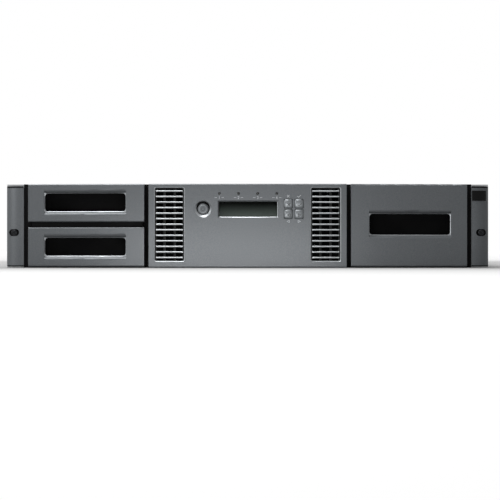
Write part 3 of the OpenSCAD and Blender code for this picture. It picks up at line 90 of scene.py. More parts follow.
# %% Colour and node helpers
def linear(code):
    """Six hexadecimal digits of screen colour as linear red, green, blue and an alpha of 1."""
    parts = [int(code[i : i + 2], 16) / 255 for i in (0, 2, 4)]
    return tuple(c / 12.92 if c <= 0.04045 else ((c + 0.055) / 1.055) ** 2.4 for c in parts) + (1.0,)


def wire(tree, node, inputs):
    """Fills a node's inputs, by name or number, with values, outputs or other nodes."""
    for name, value in inputs.items():
        if isinstance(value, bpy.types.Node):
            value = next(output for output in value.outputs if output.enabled)
        if isinstance(value, bpy.types.NodeSocket):
            tree.links.new(value, node.inputs[name])
        else:
            node.inputs[name].default_value = value


def add(tree, kind, inputs=None, **settings):
    """Adds a shader node with its settings and wires its inputs."""
    made = tree.nodes.new("ShaderNode" + kind)
    for name, value in settings.items():
        setattr(made, name, value)
    wire(tree, made, inputs or {})
    return made


def finish(name, **inputs):
    """A material of one main shader, and the place of a point. In a name _ stands for a space."""
    made = bpy.data.materials.new(name)
    made.use_nodes = True
    tree = made.node_tree
    tree.nodes.clear()
    shader = add(tree, "BsdfPrincipled", {k.replace("_", " "): v for k, v in inputs.items()})
    add(tree, "OutputMaterial", {"Surface": shader})
    return made, tree, shader, add(tree, "TexCoord").outputs["Object"]


print("white", linear("ffffff"), "mid grey", round(linear("808080")[0], 3))

# %% [markdown]
# ## The lacquer on the front
#
# The front mouldings are ABS sprayed with a silver-grey lacquer that holds aluminium flakes. The
# flakes make it half a metal: it brightens towards a light and darkens away from it, which is what
# draws the bow of the front. Real flakes are about 0.05 mm, far too fine to see here, so they are
# drawn 0.9 mm across and very weak. The lacquer flows into a faint orange peel of about 3 mm.

# %% Silver lacquer, and the brighter one on the keys
def lacquer(name, dark, light, metallic, roughness):
    """Sprayed metallic lacquer: flakes vary the colour a little, and the film is gently uneven."""
    made, tree, shader, place = finish(name, Metallic=metallic, Roughness=roughness, IOR=1.5)
    flakes = add(tree, "TexNoise", {"Vector": place, "Scale": 1 / (0.9 * mm), "Detail": 1})
    flakes = add(tree, "MapRange", {"Value": flakes, "From Min": 0.3, "From Max": 0.7})
    tone = add(tree, "Mix", {"Factor": flakes, 6: linear(dark), 7: linear(light)}, data_type="RGBA")
    peel = add(tree, "TexNoise", {"Vector": place, "Scale": 1 / (3 * mm), "Detail": 1})
    uneven = add(tree, "Bump", {"Height": peel, "Distance": 0.02 * mm})
    wire(tree, shader, {"Base Color": tone, "Normal": uneven})
    return made


silver_lacquer = lacquer("silver metallic lacquer sprayed on moulded ABS", "5c6063", "66696c", 0.32, 0.36)
key_lacquer = lacquer("bright metallic lacquer sprayed on moulded keys", "7d8184", "888c8f", 0.45, 0.33)
# painted highlight: the narrow bevels wear a lacquer far brighter than the front's, for the light from
# above that they catch
highlight_lacquer = lacquer("bright metallic lacquer on narrow bevels", "a9adb0", "b6babd", 0.55, 0.34)
print("lacquers", [lacquered.name for lacquered in (silver_lacquer, key_lacquer, highlight_lacquer)])

# %% [markdown]
# ## Black mouldings
#
# Two blacks. The frame, the cups in the handles and the fans come from a spark-eroded mould, whose
# matt grain of about 1 mm scatters light and keeps the seams between the panels dark. Magazines are
# a harder black with a fine grain that is a little smoother, so their long walls catch a soft sheen.

# %% Black plastics
def moulded(name, dark, light, roughness, grain, height, gloss=0.5):
    """Moulded plastic with the grain of its mould: grain metres across and height metres deep."""
    made, tree, shader, place = finish(name, IOR=1.54, Specular_IOR_Level=gloss)
    coarse = add(tree, "TexNoise", {"Vector": place, "Scale": 1 / grain, "Detail": 3, "Roughness": 0.6})
    tone = add(tree, "Mix", {"Factor": coarse, 6: linear(dark), 7: linear(light)}, data_type="RGBA")
    worn = add(tree, "TexNoise", {"Vector": place, "Scale": 1 / (30 * mm)})
    worn = add(tree, "MapRange", {0: worn, 1: 0.35, 2: 0.65, 3: roughness - 0.05, 4: roughness + 0.05})
    grained = add(tree, "Bump", {"Height": coarse, "Distance": height})
    wire(tree, shader, {"Base Color": tone, "Roughness": worn, "Normal": grained})
    return made


grained_black = moulded(
    "black ABS from a spark-eroded mould", "060607", "0b0b0c", 0.7, 1 * mm, 0.05 * mm, gloss=0.1
)
magazine_black = moulded(
    "black glass-filled polycarbonate, moulded", "070708", "0c0c0d", 0.55, 0.8 * mm, 0.03 * mm, gloss=0.1
)
fan_black = moulded("black PBT, moulded smooth", "101113", "17191b", 0.36, 2.5 * mm, 0.01 * mm)
acetal = moulded("natural acetal, machined", "d8d6cd", "e4e2da", 0.4, 1.5 * mm, 0.01 * mm)
print("plastics", [plastic.name for plastic in (grained_black, magazine_black, fan_black, acetal)])

# %% [markdown]
# ## Slats with bright noses
#
# The grilles are coloured black, and only the noses of their slats are silver, much brighter than the
# front's lacquer: the silver is a painted highlight for the light from above on the noses, and the
# black behind them is painted shade between the slats. The silver is found from the place of a
# point: less than 2.2 mm behind the bowed front, and not at the slats' ends. The bow lies x^2 / 2R
# behind its middle, where R is its radius of 2.4 m.

# %% Grilles
bow_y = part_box("center_bezel")[0].y
bow_r = 2.4


def slats_with_painted_light(name, part):
    """Silver noses as a painted highlight and black behind them as painted shade, told apart by how far a
    point lies behind the bow.
    """
    made, tree, shader, place = finish(name, IOR=1.5)
    axes = add(tree, "SeparateXYZ", {0: place}).outputs
    squared = add(tree, "Math", {0: axes["X"], 1: axes["X"]}, operation="MULTIPLY")
    sunk = add(tree, "Math", {0: squared, 1: 0.5 / bow_r}, operation="MULTIPLY")
    behind = add(tree, "Math", {0: axes["Y"], 1: sunk}, operation="SUBTRACT")
    nose = add(tree, "MapRange", {0: behind, 1: bow_y + 2.1 * mm, 2: bow_y + 2.2 * mm, 3: 1, 4: 0})
    low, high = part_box(part)
    away = add(tree, "Math", {0: axes["X"], 1: (low.x + high.x) / 2}, operation="SUBTRACT")
    away = add(tree, "Math", {0: away}, operation="ABSOLUTE")
    inner = add(tree, "MapRange", {0: away, 1: 13.1 * mm, 2: 13.3 * mm, 3: 1, 4: 0})
    # painted light: 1 on the slat noses, which get silver as a painted highlight, 0 behind them, which stay
    # black as painted shade
    painted_light_mask = add(tree, "Math", {0: nose, 1: inner}, operation="MULTIPLY")
    grain = add(tree, "TexNoise", {"Vector": place, "Scale": 1 / mm, "Detail": 3, "Roughness": 0.6})
    # painted shade: black where the slats lie in shade behind their noses
    black = add(tree, "Mix", {0: grain, 6: linear("060607"), 7: linear("0b0b0c")}, data_type="RGBA")
    # painted highlight: silver far brighter than the front's lacquer, for the light from above on the noses
    silver = add(tree, "Mix", {0: grain, 6: linear("b4b8bb"), 7: linear("bfc2c5")}, data_type="RGBA")
    tone = add(tree, "Mix", {"Factor": painted_light_mask, 6: black, 7: silver}, data_type="RGBA")
    metal = add(tree, "MapRange", {"Value": painted_light_mask, "To Max": 0.5})
    matt = add(tree, "MapRange", {"Value": painted_light_mask, "To Min": 0.7, "To Max": 0.36})
    wire(tree, shader, {"Base Color": tone, "Metallic": metal, "Roughness": matt})
    return made


slats = {
    part: slats_with_painted_light("black ABS " + part.replace("_", " ") + " with sprayed slat noses", part)
    for part in ("left_grille", "right_grille")
}
print("grilles", list(slats))

# %% [markdown]
# ## Sheet metal
#
# The chassis is steel strip that was galvanised before it was folded. Zinc cools in flat crystals,
# the spangle, a few millimetres across, each turned its own way, so each reflects its own part of
# the room. A faint grain from rolling runs along the strip. Zinc is a metal, so its colour tints
# what it reflects.

# %% Galvanised sheet
def spangled(name, dark, light, crystal, roughness):
    """Galvanised strip: crystals vary the tone and the roughness, and rolling leaves fine lines."""
    made, tree, shader, place = finish(name, Metallic=1.0)
    bent = add(tree, "TexNoise", {"Vector": place, "Scale": 0.5 / crystal, "Detail": 1}).outputs["Color"]
    bent = add(tree, "VectorMath", {0: bent, "Scale": 0.6 * crystal}, operation="SCALE")
    bent = add(tree, "VectorMath", {0: place, 1: bent}, operation="ADD")
    cells = add(tree, "TexVoronoi", {"Vector": bent, "Scale": 1 / crystal}).outputs["Color"]
    share = add(tree, "SeparateColor", {"Color": cells})
    tone = add(tree, "Mix", {"Factor": share, 6: linear(dark), 7: linear(light)}, data_type="RGBA")
    matt = add(tree, "MapRange", {"Value": share, "To Min": roughness - 0.06, "To Max": roughness + 0.06})
    along = add(tree, "Mapping", {"Vector": place, "Scale": (8, 0.25, 8)})
    lines = add(tree, "TexNoise", {"Vector": along, "Scale": 1 / (6 * mm), "Detail": 3, "Roughness": 0.6})
    rolled = add(tree, "Bump", {"Height": lines, "Distance": 0.012 * mm})
    wire(tree, shader, {"Base Color": tone, "Roughness": matt, "Normal": rolled})
    return made


chassis_zinc = spangled("galvanised steel sheet with fine spangle", "8e9192", "a3a6a6", 5 * mm, 0.42)
robot_zinc = spangled("bright zinc-plated steel, pressed", "a0a29f", "b2b3b0", 2.5 * mm, 0.34)
print("spangle", chassis_zinc.name)

# %% [markdown]
# ## Turned, brushed and painted metal
#
# Screws, rods and springs are drawn or turned, which leaves fine rings round them; the rack ears
# are brushed and plated. The drive's case is a painted casting. These need only a colour, a
# roughness and the direction of their fine lines.

# %% Other metals
def lined(name, dark, light, roughness, stretch):
    """A metal with fine parallel lines. The lines lie across the axes that stretch makes large."""
    made, tree, shader, place = finish(name, Metallic=1.0, Roughness=roughness)
    drawn = add(tree, "Mapping", {"Vector": place, "Scale": stretch})
    lines = add(tree, "TexNoise", {"Vector": drawn, "Scale": 1 / (2 * mm), "Detail": 3, "Roughness": 0.65})
    tone = add(tree, "Mix", {"Factor": lines, 6: linear(dark), 7: linear(light)}, data_type="RGBA")
    rings = add(tree, "Bump", {"Height": lines, "Distance": 0.006 * mm})
    wire(tree, shader, {"Base Color": tone, "Normal": rings})
    return made


ear_steel = lined("brushed and zinc-plated steel plate", "b9bbbc", "cccecf", 0.36, (0.3, 4, 4))
turned_steel = lined("bright turned steel", "bcbdbe", "d2d3d3", 0.24, (4, 4, 0.5))
spring_steel = lined("blued spring steel strip", "8d9196", "a7abb0", 0.28, (3, 0.4, 3))
brass = lined("hobbed brass", "b08d4a", "c9a761", 0.3, (4, 4, 0.5))
motor_black = lined("black anodised aluminium can", "2a2b2d", "363739", 0.42, (0.5, 0.5, 5))


def drive_paint():
    """Cast and powder-coated: a coarse texture of 1.5 mm, with the drive's black bezel at its front."""
    made, tree, shader, place = finish("powder-coated drive case with a moulded black bezel", IOR=1.5)
    grain = add(tree, "TexNoise", {"Vector": place, "Scale": 1 / (1.5 * mm), "Detail": 3, "Roughness": 0.6})
    paint = add(tree, "Mix", {"Factor": grain, 6: linear("8b8e90"), 7: linear("989b9d")}, data_type="RGBA")
    bezel_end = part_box("drive_body")[0].y + 9 * mm
    y = add(tree, "SeparateXYZ", {0: place}).outputs["Y"]
    behind = add(tree, "MapRange", {"Value": y, "From Min": bezel_end - 0.1 * mm, "From Max": bezel_end})
    tone = add(tree, "Mix", {"Factor": behind, 6: linear("17181a"), 7: paint}, data_type="RGBA")
    matt = add(tree, "MapRange", {0: grain, 1: 0.3, 2: 0.7, 3: 0.42, 4: 0.55})
    texture = add(tree, "Bump", {"Height": grain, "Distance": 0.04 * mm})
    wire(tree, shader, {"Base Color": tone, "Roughness": matt, "Normal": texture})
    return made


drive_case = drive_paint()
metals = (ear_steel, turned_steel, spring_steel, brass, motor_black, drive_case)
print("metals", [metal.name for metal in metals])

# %% [markdown]
# ## Window, display and lamps
#
# The window is a thin sheet of smoked acrylic: light goes straight through it and loses about a
# fifth on each pass. Over that lies a nearly black film that makes up 0.06 of what is seen and
# reflects a third as much as bare gloss. The display behind it is grey glass with a grid of unlit
# dots. Its colour fades to black towards its top: painted shade, standing in for the shadow that the
# frame's top edge casts into the deep window. Real dots are 0.5 mm apart and would vanish, so they
# are drawn 1 mm apart.

# %% Smoked window, display and lamp resin
def smoked(name, tint, film=0.06):
    """Thin tinted sheet: a straight view through it in the tint, under the share film of a glossy one."""
    made, tree, shader, place = finish(name, Base_Color=linear("0c0d0d"), IOR=1.49, Specular_IOR_Level=0.15)
    smears = add(tree, "TexNoise", {"Vector": place, "Scale": 1 / (8 * mm)})
    matt = add(tree, "MapRange", {0: smears, 1: 0.3, 2: 0.7, 3: 0.03, 4: 0.09})
    wire(tree, shader, {"Roughness": matt})
    through = add(tree, "BsdfTransparent", {"Color": linear(tint)})
    both = add(tree, "MixShader", {"Fac": film, 1: through, 2: shader})
    wire(tree, next(n for n in tree.nodes if n.type == "OUTPUT_MATERIAL"), {"Surface": both})
    return made


def dotted(name, part, pitch=1 * mm):
    """Display glass: a grid of square dots one pitch apart, with painted shade darkening it towards its
    top.
    """
    made, tree, shader, place = finish(name, IOR=1.52, Specular_IOR_Level=0.1, Roughness=0.35)
    cell = add(tree, "VectorMath", {0: place, 1: (pitch, pitch, pitch)}, operation="MODULO")
    cell = add(tree, "VectorMath", {0: cell}, operation="ABSOLUTE")
    axes = add(tree, "SeparateXYZ", {0: cell}).outputs
    across = add(tree, "Math", {0: axes["X"], 1: 0.25 * pitch}, operation="GREATER_THAN")
    up = add(tree, "Math", {0: axes["Z"], 1: 0.25 * pitch}, operation="GREATER_THAN")
    dot = add(tree, "Math", {0: across, 1: up}, operation="MULTIPLY")
    foot = add(tree, "Mix", {"Factor": dot, 6: linear("909593"), 7: linear("9a9f9d")}, data_type="RGBA")
    low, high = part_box(part)
    height = add(tree, "SeparateXYZ", {0: place}).outputs["Z"]
    # painted shade: the glass darkens towards its top, where the frame's top edge would shade it
    painted_shade_upwards = add(tree, "MapRange", {0: height, 1: low.z + 1 * mm, 2: high.z - 5 * mm})
    glass = add(tree, "Mix", {"Factor": painted_shade_upwards, 6: foot, 7: linear("060707")}, data_type="RGBA")
    wire(tree, shader, {"Base Color": glass})
    return made


def resin(name, core, rim):
    """Cast epoxy over an unlit lamp: nearly black, with flow marks of 1 mm and a hard gloss."""
    made, tree, shader, place = finish(name, IOR=1.56, Roughness=0.12)
    flow = add(tree, "TexNoise", {"Vector": place, "Scale": 1 / (1 * mm)})
    tone = add(tree, "Mix", {"Factor": flow, 6: linear(core), 7: linear(rim)}, data_type="RGBA")
    marks = add(tree, "Bump", {"Height": flow, "Distance": 0.01 * mm})
    wire(tree, shader, {"Base Color": tone, "Normal": marks})
    return made


window_acrylic = smoked("smoked acrylic, cast and polished", "e6e9e7")
display_glass = dotted("display glass with unlit dots", "lcd_module")
lamp_resin = resin("dark epoxy of an unlit lamp", "050606", "0b0d0c")
badge_black = moulded("black badge, moulded satin", "050505", "090a0a", 0.4, 2 * mm, 0.01 * mm, gloss=0.15)
print("front", [shown.name for shown in (window_acrylic, display_glass, lamp_resin, badge_black)])

# %% [markdown]
# ## Circuit boards and the mains inlet
#
# A board is green solder mask over copper: broad tracks show as a slightly lighter green. What
# stands on it is black moulded plastic, so one material tells the two apart by how far a point is
# from the board's face. The inlet is black nylon, and its three pins are nickel-plated brass.

# %% Boards and inlet
def board(name, axis, face, way):
    """Solder mask up to the board's face; past it, along the axis in the given way, black parts."""
    made, tree, shader, place = finish(name, IOR=1.5)
    where = add(tree, "SeparateXYZ", {0: place}).outputs[axis]
    before, after = (0, 1) if way > 0 else (1, 0)
    parts = add(tree, "MapRange", {0: where, 1: face - 0.1 * mm, 2: face + 0.1 * mm, 3: before, 4: after})
    masks = {"Color1": linear("12492c"), "Color2": linear("175535"), "Mortar": linear("0e3b23")}
    size = {"Vector": place, "Scale": 1 / (9 * mm), "Mortar Size": 0.06}
    tracks = add(tree, "TexBrick", {**masks, **size}, offset=0.5)
    tone = add(tree, "Mix", {"Factor": parts, 6: tracks, 7: linear("1a1b1d")}, data_type="RGBA")
    matt = add(tree, "MapRange", {"Value": parts, "To Min": 0.3, "To Max": 0.5})
    wire(tree, shader, {"Base Color": tone, "Roughness": matt})
    return made


def inlet(name, pins_front):
    """Nylon, with metal where a point lies inside the socket behind its mouth."""
    made, tree, shader, place = finish(name, IOR=1.53)
    low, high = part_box("mains_inlet")
    axes = add(tree, "SeparateXYZ", {0: place}).outputs
    metal = add(tree, "MapRange", {0: axes["Y"], 1: pins_front, 2: pins_front + 0.1 * mm, 3: 1, 4: 0})
    for axis, least, most, wall in (("X", low.x, high.x, 6 * mm), ("Z", low.z, high.z, 5.5 * mm)):
        reach = (most - least) / 2 - wall
        away = add(tree, "Math", {0: axes[axis], 1: (least + most) / 2}, operation="SUBTRACT")
        away = add(tree, "Math", {0: away}, operation="ABSOLUTE")
        near = add(tree, "MapRange", {0: away, 1: reach, 2: reach + 0.1 * mm, 3: 1, 4: 0})
        metal = add(tree, "Math", {0: metal, 1: near}, operation="MULTIPLY")
    grain = add(tree, "TexNoise", {"Vector": place, "Scale": 1 / (1.2 * mm)})
    nylon = add(tree, "Mix", {"Factor": grain, 6: linear("0f1011"), 7: linear("16181a")}, data_type="RGBA")
    tone = add(tree, "Mix", {"Factor": metal, 6: nylon, 7: linear("c9c5b8")}, data_type="RGBA")
    matt = add(tree, "MapRange", {"Value": metal, "To Min": 0.45, "To Max": 0.25})
    wire(tree, shader, {"Base Color": tone, "Metallic": metal, "Roughness": matt})
    return made


panel_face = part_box("panel_board")[1].y - 1.6 * mm
control_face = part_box("controller_board")[0].z + 14.4 * mm
pins_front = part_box("mains_inlet")[1].y - 5 * mm
panel_green = board("green solder mask with moulded parts, front board", "Y", panel_face, -1)
control_green = board("green solder mask with moulded parts, controller", "Z", control_face, 1)
inlet_nylon = inlet("black nylon inlet with nickel-plated pins", pins_front)
print("boards", round(panel_face / mm, 2), round(control_face / mm, 2))

# %% [markdown]
# ## Each part gets its material
#
# A part takes the material of its slot in the engineering model, and some take one of their own: the
# grilles, the window, the lamps, the magazines, the robot's pressed plates, its brass and acetal
# gears, the springs, the fans and the inlet.

# %% Hand out the materials
by_slot = {
    "silver_plastic": silver_lacquer,
    "black_plastic": grained_black,
    "zinc_steel": chassis_zinc,
    "ear_steel": ear_steel,
    "screw_steel": turned_steel,
    "dark_glass": display_glass,
    "circuit_board": control_green,
    "drive_metal": drive_case,
    "motor_metal": motor_black,
}
by_name = {
    "left_grille": slats["left_grille"],
    "right_grille": slats["right_grille"],
    "lcd_window": window_acrylic,
    "lcd_module": display_glass,
    "status_leds": lamp_resin,
    "badge_plate": badge_black,
    "panel_board": panel_green,
    "mains_inlet": inlet_nylon,
    "robot_sled": robot_zinc,
    "lift_frame": robot_zinc,
    "turntable": robot_zinc,
    "robot_rails": acetal,
    "travel_pinion": brass,
    "turn_pinion": brass,
    "left_cell_springs": spring_steel,
    "right_cell_springs": spring_steel,
    "left_magazine_body": magazine_black,
    "right_magazine_body": magazine_black,
    "mailslot_tray": magazine_black,
    "fan_frames": fan_black,
    "drive_fan_rotor": fan_black,
    "psu_fan_rotor": fan_black,
    "barcode_reader": fan_black,
}
for name, part in node.items():
    for place in part.material_slots:
        place.material = by_name.get(name) or by_slot[place.material.name.split(".")[0]]
worn = {part.material_slots[0].material.name for part in node.values()}
print("dressed", len(node), "parts in", len(worn), "materials")

# %% [markdown]
# ## Surfaces from formulas
#
# The added pieces are grids of points. A grid closes on itself where its first and last row or
# column meet, and a flat or round end is closed by a fan to its middle. Faces look outwards, edges
# sharper than 35 degrees stay sharp and the rest is smooth.

# %% Making a piece from grids
def grid_faces(rows, columns, round_rows=False, round_columns=False):
    """Four-cornered faces between neighbours of a rows by columns grid of points."""
    i = np.arange(rows if round_rows else rows - 1)[:, None]
    j = np.arange(columns if round_columns else columns - 1)[None, :]
    up, right = (i + 1) % rows, (j + 1) % columns
    corners = (i * columns + j, i * columns + right, up * columns + right, up * columns + j)
    return np.stack(np.broadcast_arrays(*corners), -1).reshape(-1, 4)


def tube(rings, round_rows=False):
    """Closed skin over rings of points, shape (rings, points, 3), with a fan over each open end."""
    rows, columns = rings.shape[:2]
    points = [rings.reshape(-1, 3)]
    quads = grid_faces(rows, columns, round_rows, True)
    fans = []
    if not round_rows:
        points += [rings[0].mean(0)[None], rings[-1].mean(0)[None]]
        near = np.arange(columns)
        far = (near + 1) % columns
        first, last = rows * columns, rows * columns + 1
        start = columns * (rows - 1)
        fans = [np.stack([far, near, np.full(columns, first)], 1)]
        fans += [np.stack([start + near, start + far, np.full(columns, last)], 1)]
    return np.concatenate(points), [quads] + fans


def volume(points, groups):
    """Six times the space inside a skin: the sum of a . (b x c) over its triangles."""
    total = 0.0
    for group in groups:
        corners = points[group]
        for k in range(1, corners.shape[1] - 1):
            a, b, c = corners[:, 0], corners[:, k], corners[:, k + 1]
            total += float(np.sum(a * np.cross(b, c)))
    return total


def join(skins):
    """Several skins as one list of points and one list of faces, all of them looking outwards."""
    points, faces, count = [], [], 0
    for own, groups in skins:
        way = 1 if volume(own - own.mean(0), groups) > 0 else -1
        points.append(own)
        faces += [face for group in groups for face in (group[:, ::way] + count).tolist()]
        count += len(own)
    return np.concatenate(points), faces


def piece(name, skins, material, body):
    """Puts skins in the scene as one object that rides on a body and wears a material."""
    points, faces = join(skins)
    mesh = bpy.data.meshes.new(name)
    mesh.from_pydata(points.tolist(), [], faces)
    mesh.materials.append(material)
    mesh.shade_smooth()
    mesh.set_sharp_from_angle(angle=math.radians(35))
    made = bpy.data.objects.new(name, mesh)
    bpy.context.scene.collection.objects.link(made)
    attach(made, body)
    print(name, len(faces), "faces")
    return made


def turned(profile, count, centre):
    """(radius, height) pairs turned round an axis along Y; the height grows towards the front."""
    profile = np.asarray(profile)
    a = np.arange(count) * 2 * math.pi / count
    r, h = profile[:, :1], profile[:, 1:]
    c, s = r * np.cos(a), r * np.sin(a)
    return tube(np.stack([c, np.broadcast_to(-h, c.shape), s], -1) + np.asarray(centre))


print("grid of 3 by 4 has", len(grid_faces(3, 4)), "faces")

# %% [markdown]
# ## Keys
#
# A key is a cushion. Over its square face, with u and v running from -1 to 1, its height falls from
# the middle by dome * (u^2 + v^2) / 2 and drops faster towards the edge by skirt * max(|u|, |v|)^8,
# so the middle catches the light and the rim turns away from it. The outline is |u|^7 + |v|^7 = 1, a
# square with softly rounded corners. Each key replaces the flat one of the engineering model.

# %% Cushioned keys
def bow(x, back=0.0):
    """Where the bowed front is at x, for a surface that lies back metres behind it."""
    return bow_y + bow_r - np.sqrt((bow_r - back) ** 2 - np.asarray(x) ** 2)


key_dome, key_skirt = 1.5 * mm, 0.6 * mm


def key_cap(name):
    """Rings from the middle of the face to its rim, closer there, then back along the sides."""
    low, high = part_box(name)
    half_x, half_z = (high.x - low.x) / 2, (high.z - low.z) / 2
    depth, shoulder, steps, count, power, closer = 4.4 * mm, 0.2 * mm, 14, 64, 7, 0.8
    a = np.arange(count) * 2 * math.pi / count
    round_square = 1 / (np.abs(np.cos(a)) ** power + np.abs(np.sin(a)) ** power) ** (1 / power)
    u, v = round_square * np.cos(a), round_square * np.sin(a)
    t = np.linspace(0, 1, steps)[1:, None] ** closer
    flat_x, flat_z = t * u, t * v
    fall = key_dome * (flat_x**2 + flat_z**2) / 2 + key_skirt * np.broadcast_to(t, flat_x.shape) ** 8
    face = np.stack([flat_x * half_x, low.y + fall, flat_z * half_z], -1)
    sides = np.repeat(face[-1:], 2, 0)
    sides[0, :, 1], sides[1, :, 1] = low.y + key_dome + key_skirt + shoulder, low.y + depth
    points, faces = tube(np.concatenate([face, sides]) + [(low.x + high.x) / 2, 0, (low.z + high.z) / 2])
    points[-2, 1] = low.y
    cap = piece(name + "_cap", [(points, faces)], key_lacquer, name)
    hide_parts(name)


for name in ("key_up_left", "key_up_right", "key_down_left", "key_down_right"):
    key_cap(name)

# %% [markdown]
# ## Bevelled edges
#
# Round each recess, each grille and the display the moulding ends in a narrow bevel that catches the
# light from above. The bevels wear a lacquer brighter than the front's, a painted highlight on top of
# the light they catch. A bevel is a band along a rounded rectangle: its front edge lies on the face,
# its back edge is set in by width and back by depth. Round a recess and the display the back edge
# also leans up and to the left, so that the bevel is thin above and broad below. The path is straight
# along the sides and turns on a circle of radius r at the corners.

# %% Bevelled edges of the recesses, the grilles and the display
def rounded_path(x, z, w, h, r, count=8, cuts=6):
    """Points round a rectangle w by h centred on (x, z): corners of radius r, sides in short steps."""
    turn = np.linspace(0, math.pi / 2, count)
    points = []
    for quarter, (a, b) in enumerate(((1, 1), (-1, 1), (-1, -1), (1, -1))):
        angle = turn + quarter * math.pi / 2
        centre = [x + a * (w / 2 - r), z + b * (h / 2 - r)]
        points.append(centre + r * np.stack([np.cos(angle), np.sin(angle)], 1))
    points = np.concatenate(points)
    steps = np.linspace(0, 1, cuts, endpoint=False)[None, :, None]
    return (points[:, None] + (np.roll(points, -1, 0) - points)[:, None] * steps).reshape(-1, 2)


def bevel(x, z, w, h, r_out, r_in, width, depth, back, lean=(0, 0), thick=0.8 * mm):
    """A closed band from its front edge width inwards and depth back; lean shifts its back edge."""
    outer = rounded_path(x, z, w, h, r_out)
    inner = rounded_path(x + lean[0], z + lean[1], w - 2 * width, h - 2 * width, r_in)
    rings = []
    for flat, deep in ((outer, 0), (inner, depth), (inner, depth + thick), (outer, depth + thick)):
        rings.append(np.stack([flat[:, 0], bow(flat[:, 0], back) + deep, flat[:, 1]], 1))
    return tube(np.stack(rings, 1), round_rows=True)


cup_wall, proud = 1.2 * mm, 1.2 * mm
off_x, off_z, wider, taller = 0.2 * mm, 0.3 * mm, 0.6 * mm, 0.8 * mm
cup_edge = {"r_out": 0.3 * mm, "r_in": 3.2 * mm, "width": 0.8 * mm, "depth": 0.7 * mm}
for cup, name, body in (
    ("left_grip", "lower_left_recess_bevel", "left_magazine"),
    ("mailslot_grip", "mailslot_recess_bevel", "mailslot"),
    ("right_grip", "right_recess_bevel", "right_magazine"),
):
    low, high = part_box(cup)
    x, z = (low.x + high.x) / 2, (low.z + high.z) / 2
    w, h = high.x - low.x - 2 * cup_wall + wider, high.z - low.z - 2 * cup_wall + taller
    nearest = min(abs(low.x), abs(high.x)) + cup_wall
    back = low.y - float(bow(nearest)) - proud
    edge = bevel(x + off_x, z - off_z, w, h, back=back, lean=(-off_x, off_z), **cup_edge)
    piece(name, [edge], highlight_lacquer, body)

grille_w, grille_h, grille_z = 30.3 * mm, 74 * mm, 43 * mm
low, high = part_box("right_grille")
grille_x = (low.x + high.x) / 2
grille_edge = {"r_out": 2 * mm, "r_in": 1.6 * mm, "width": 0.8 * mm, "depth": 0.8 * mm, "back": 0}
edges = [bevel(side * grille_x, grille_z, grille_w, grille_h, **grille_edge) for side in (-1, 1)]
piece("grille_bevels", edges, highlight_lacquer, "chassis")

lcd_x, lcd_z, lcd_w, lcd_h = 0.5 * mm, 57.9 * mm, 58.5 * mm, 15.6 * mm
off, over = 0.45 * mm, 0.55 * mm
w, h = lcd_w + 2 * over, lcd_h + 2 * over
lcd_edge = {"r_out": 1.2 * mm, "r_in": 0.6 * mm, "width": 0.85 * mm, "depth": 0.8 * mm, "back": 0.05 * mm}
edge = bevel(lcd_x + off, lcd_z - off, w, h, lean=(-off, off), **lcd_edge)
piece("display_bevel", [edge], highlight_lacquer, "chassis")

# %% [markdown]
# ## Black foam behind the grilles
#
# Behind each grille a pad of black open-cell foam fills the window of the frame. It is painted shade:
# a dark sheet put where there is only shade, so that the grilles stay black behind their slats. It
# is a cushion again: rings of a rounded rectangle from its middle to its rim, falling back by
# 0.8 t^8 mm, where t is 0 in the middle and 1 at the rim. The cells of the foam, about 1.2 mm, are
# in the material.

# %% Black foam in the grilles, painted shade
def foam():
    """Reticulated foam as painted shade: black, with hollow cells that neither shine nor show an edge."""
    name = "black foam standing in for shade"
    made, tree, shader, place = finish(name, Roughness=0.95, Specular_IOR_Level=0.05)
    cells = add(tree, "TexVoronoi", {"Vector": place, "Scale": 1 / (1.2 * mm)})
    tone = add(tree, "Mix", {"Factor": cells, 6: linear("020202"), 7: linear("0d0d0e")}, data_type="RGBA")
    hollows = add(tree, "Bump", {"Height": cells, "Distance": 0.3 * mm})
    wire(tree, shader, {"Base Color": tone, "Normal": hollows})
    return made


frame_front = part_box("bezel_frame")[0].y
pad_w, pad_h, pad_x, pad_depth = grille_w - 6.2 * mm, grille_h - 8.2 * mm, grille_x - 3 * mm, 4 * mm
outline = rounded_path(0, 0, pad_w, pad_h, 3 * mm)
pads = []
for side in (-1, 1):
    front = []
    for t in np.linspace(0, 1, 9)[1:]:
        y = np.full(len(outline), frame_front + (1 + 0.8 * t**8) * mm)
        front.append(np.stack([side * pad_x + t * outline[:, 0], y, grille_z + t * outline[:, 1]], 1))
    pads.append(tube(np.stack(front + [front[-1] + [0, pad_depth, 0]])))
# painted shade: black foam where the window behind each grille lies in shade
piece("black_shade_pads", pads, foam(), "chassis")

# %% [markdown]
# ## Captive rack screws
#
# In the slot of each rack ear sits a captive screw in a black bush. The bush is painted shade: a
# dark thing that fills the slot, so that it looks black as a deep hole in shade does.
# The bush is a rounded bar with a bevelled mouth; the screw is a turned pan head with a hexagonal
# socket: its radius varies with the angle a as r / cos(a - 60 k), k being the nearest sixth.

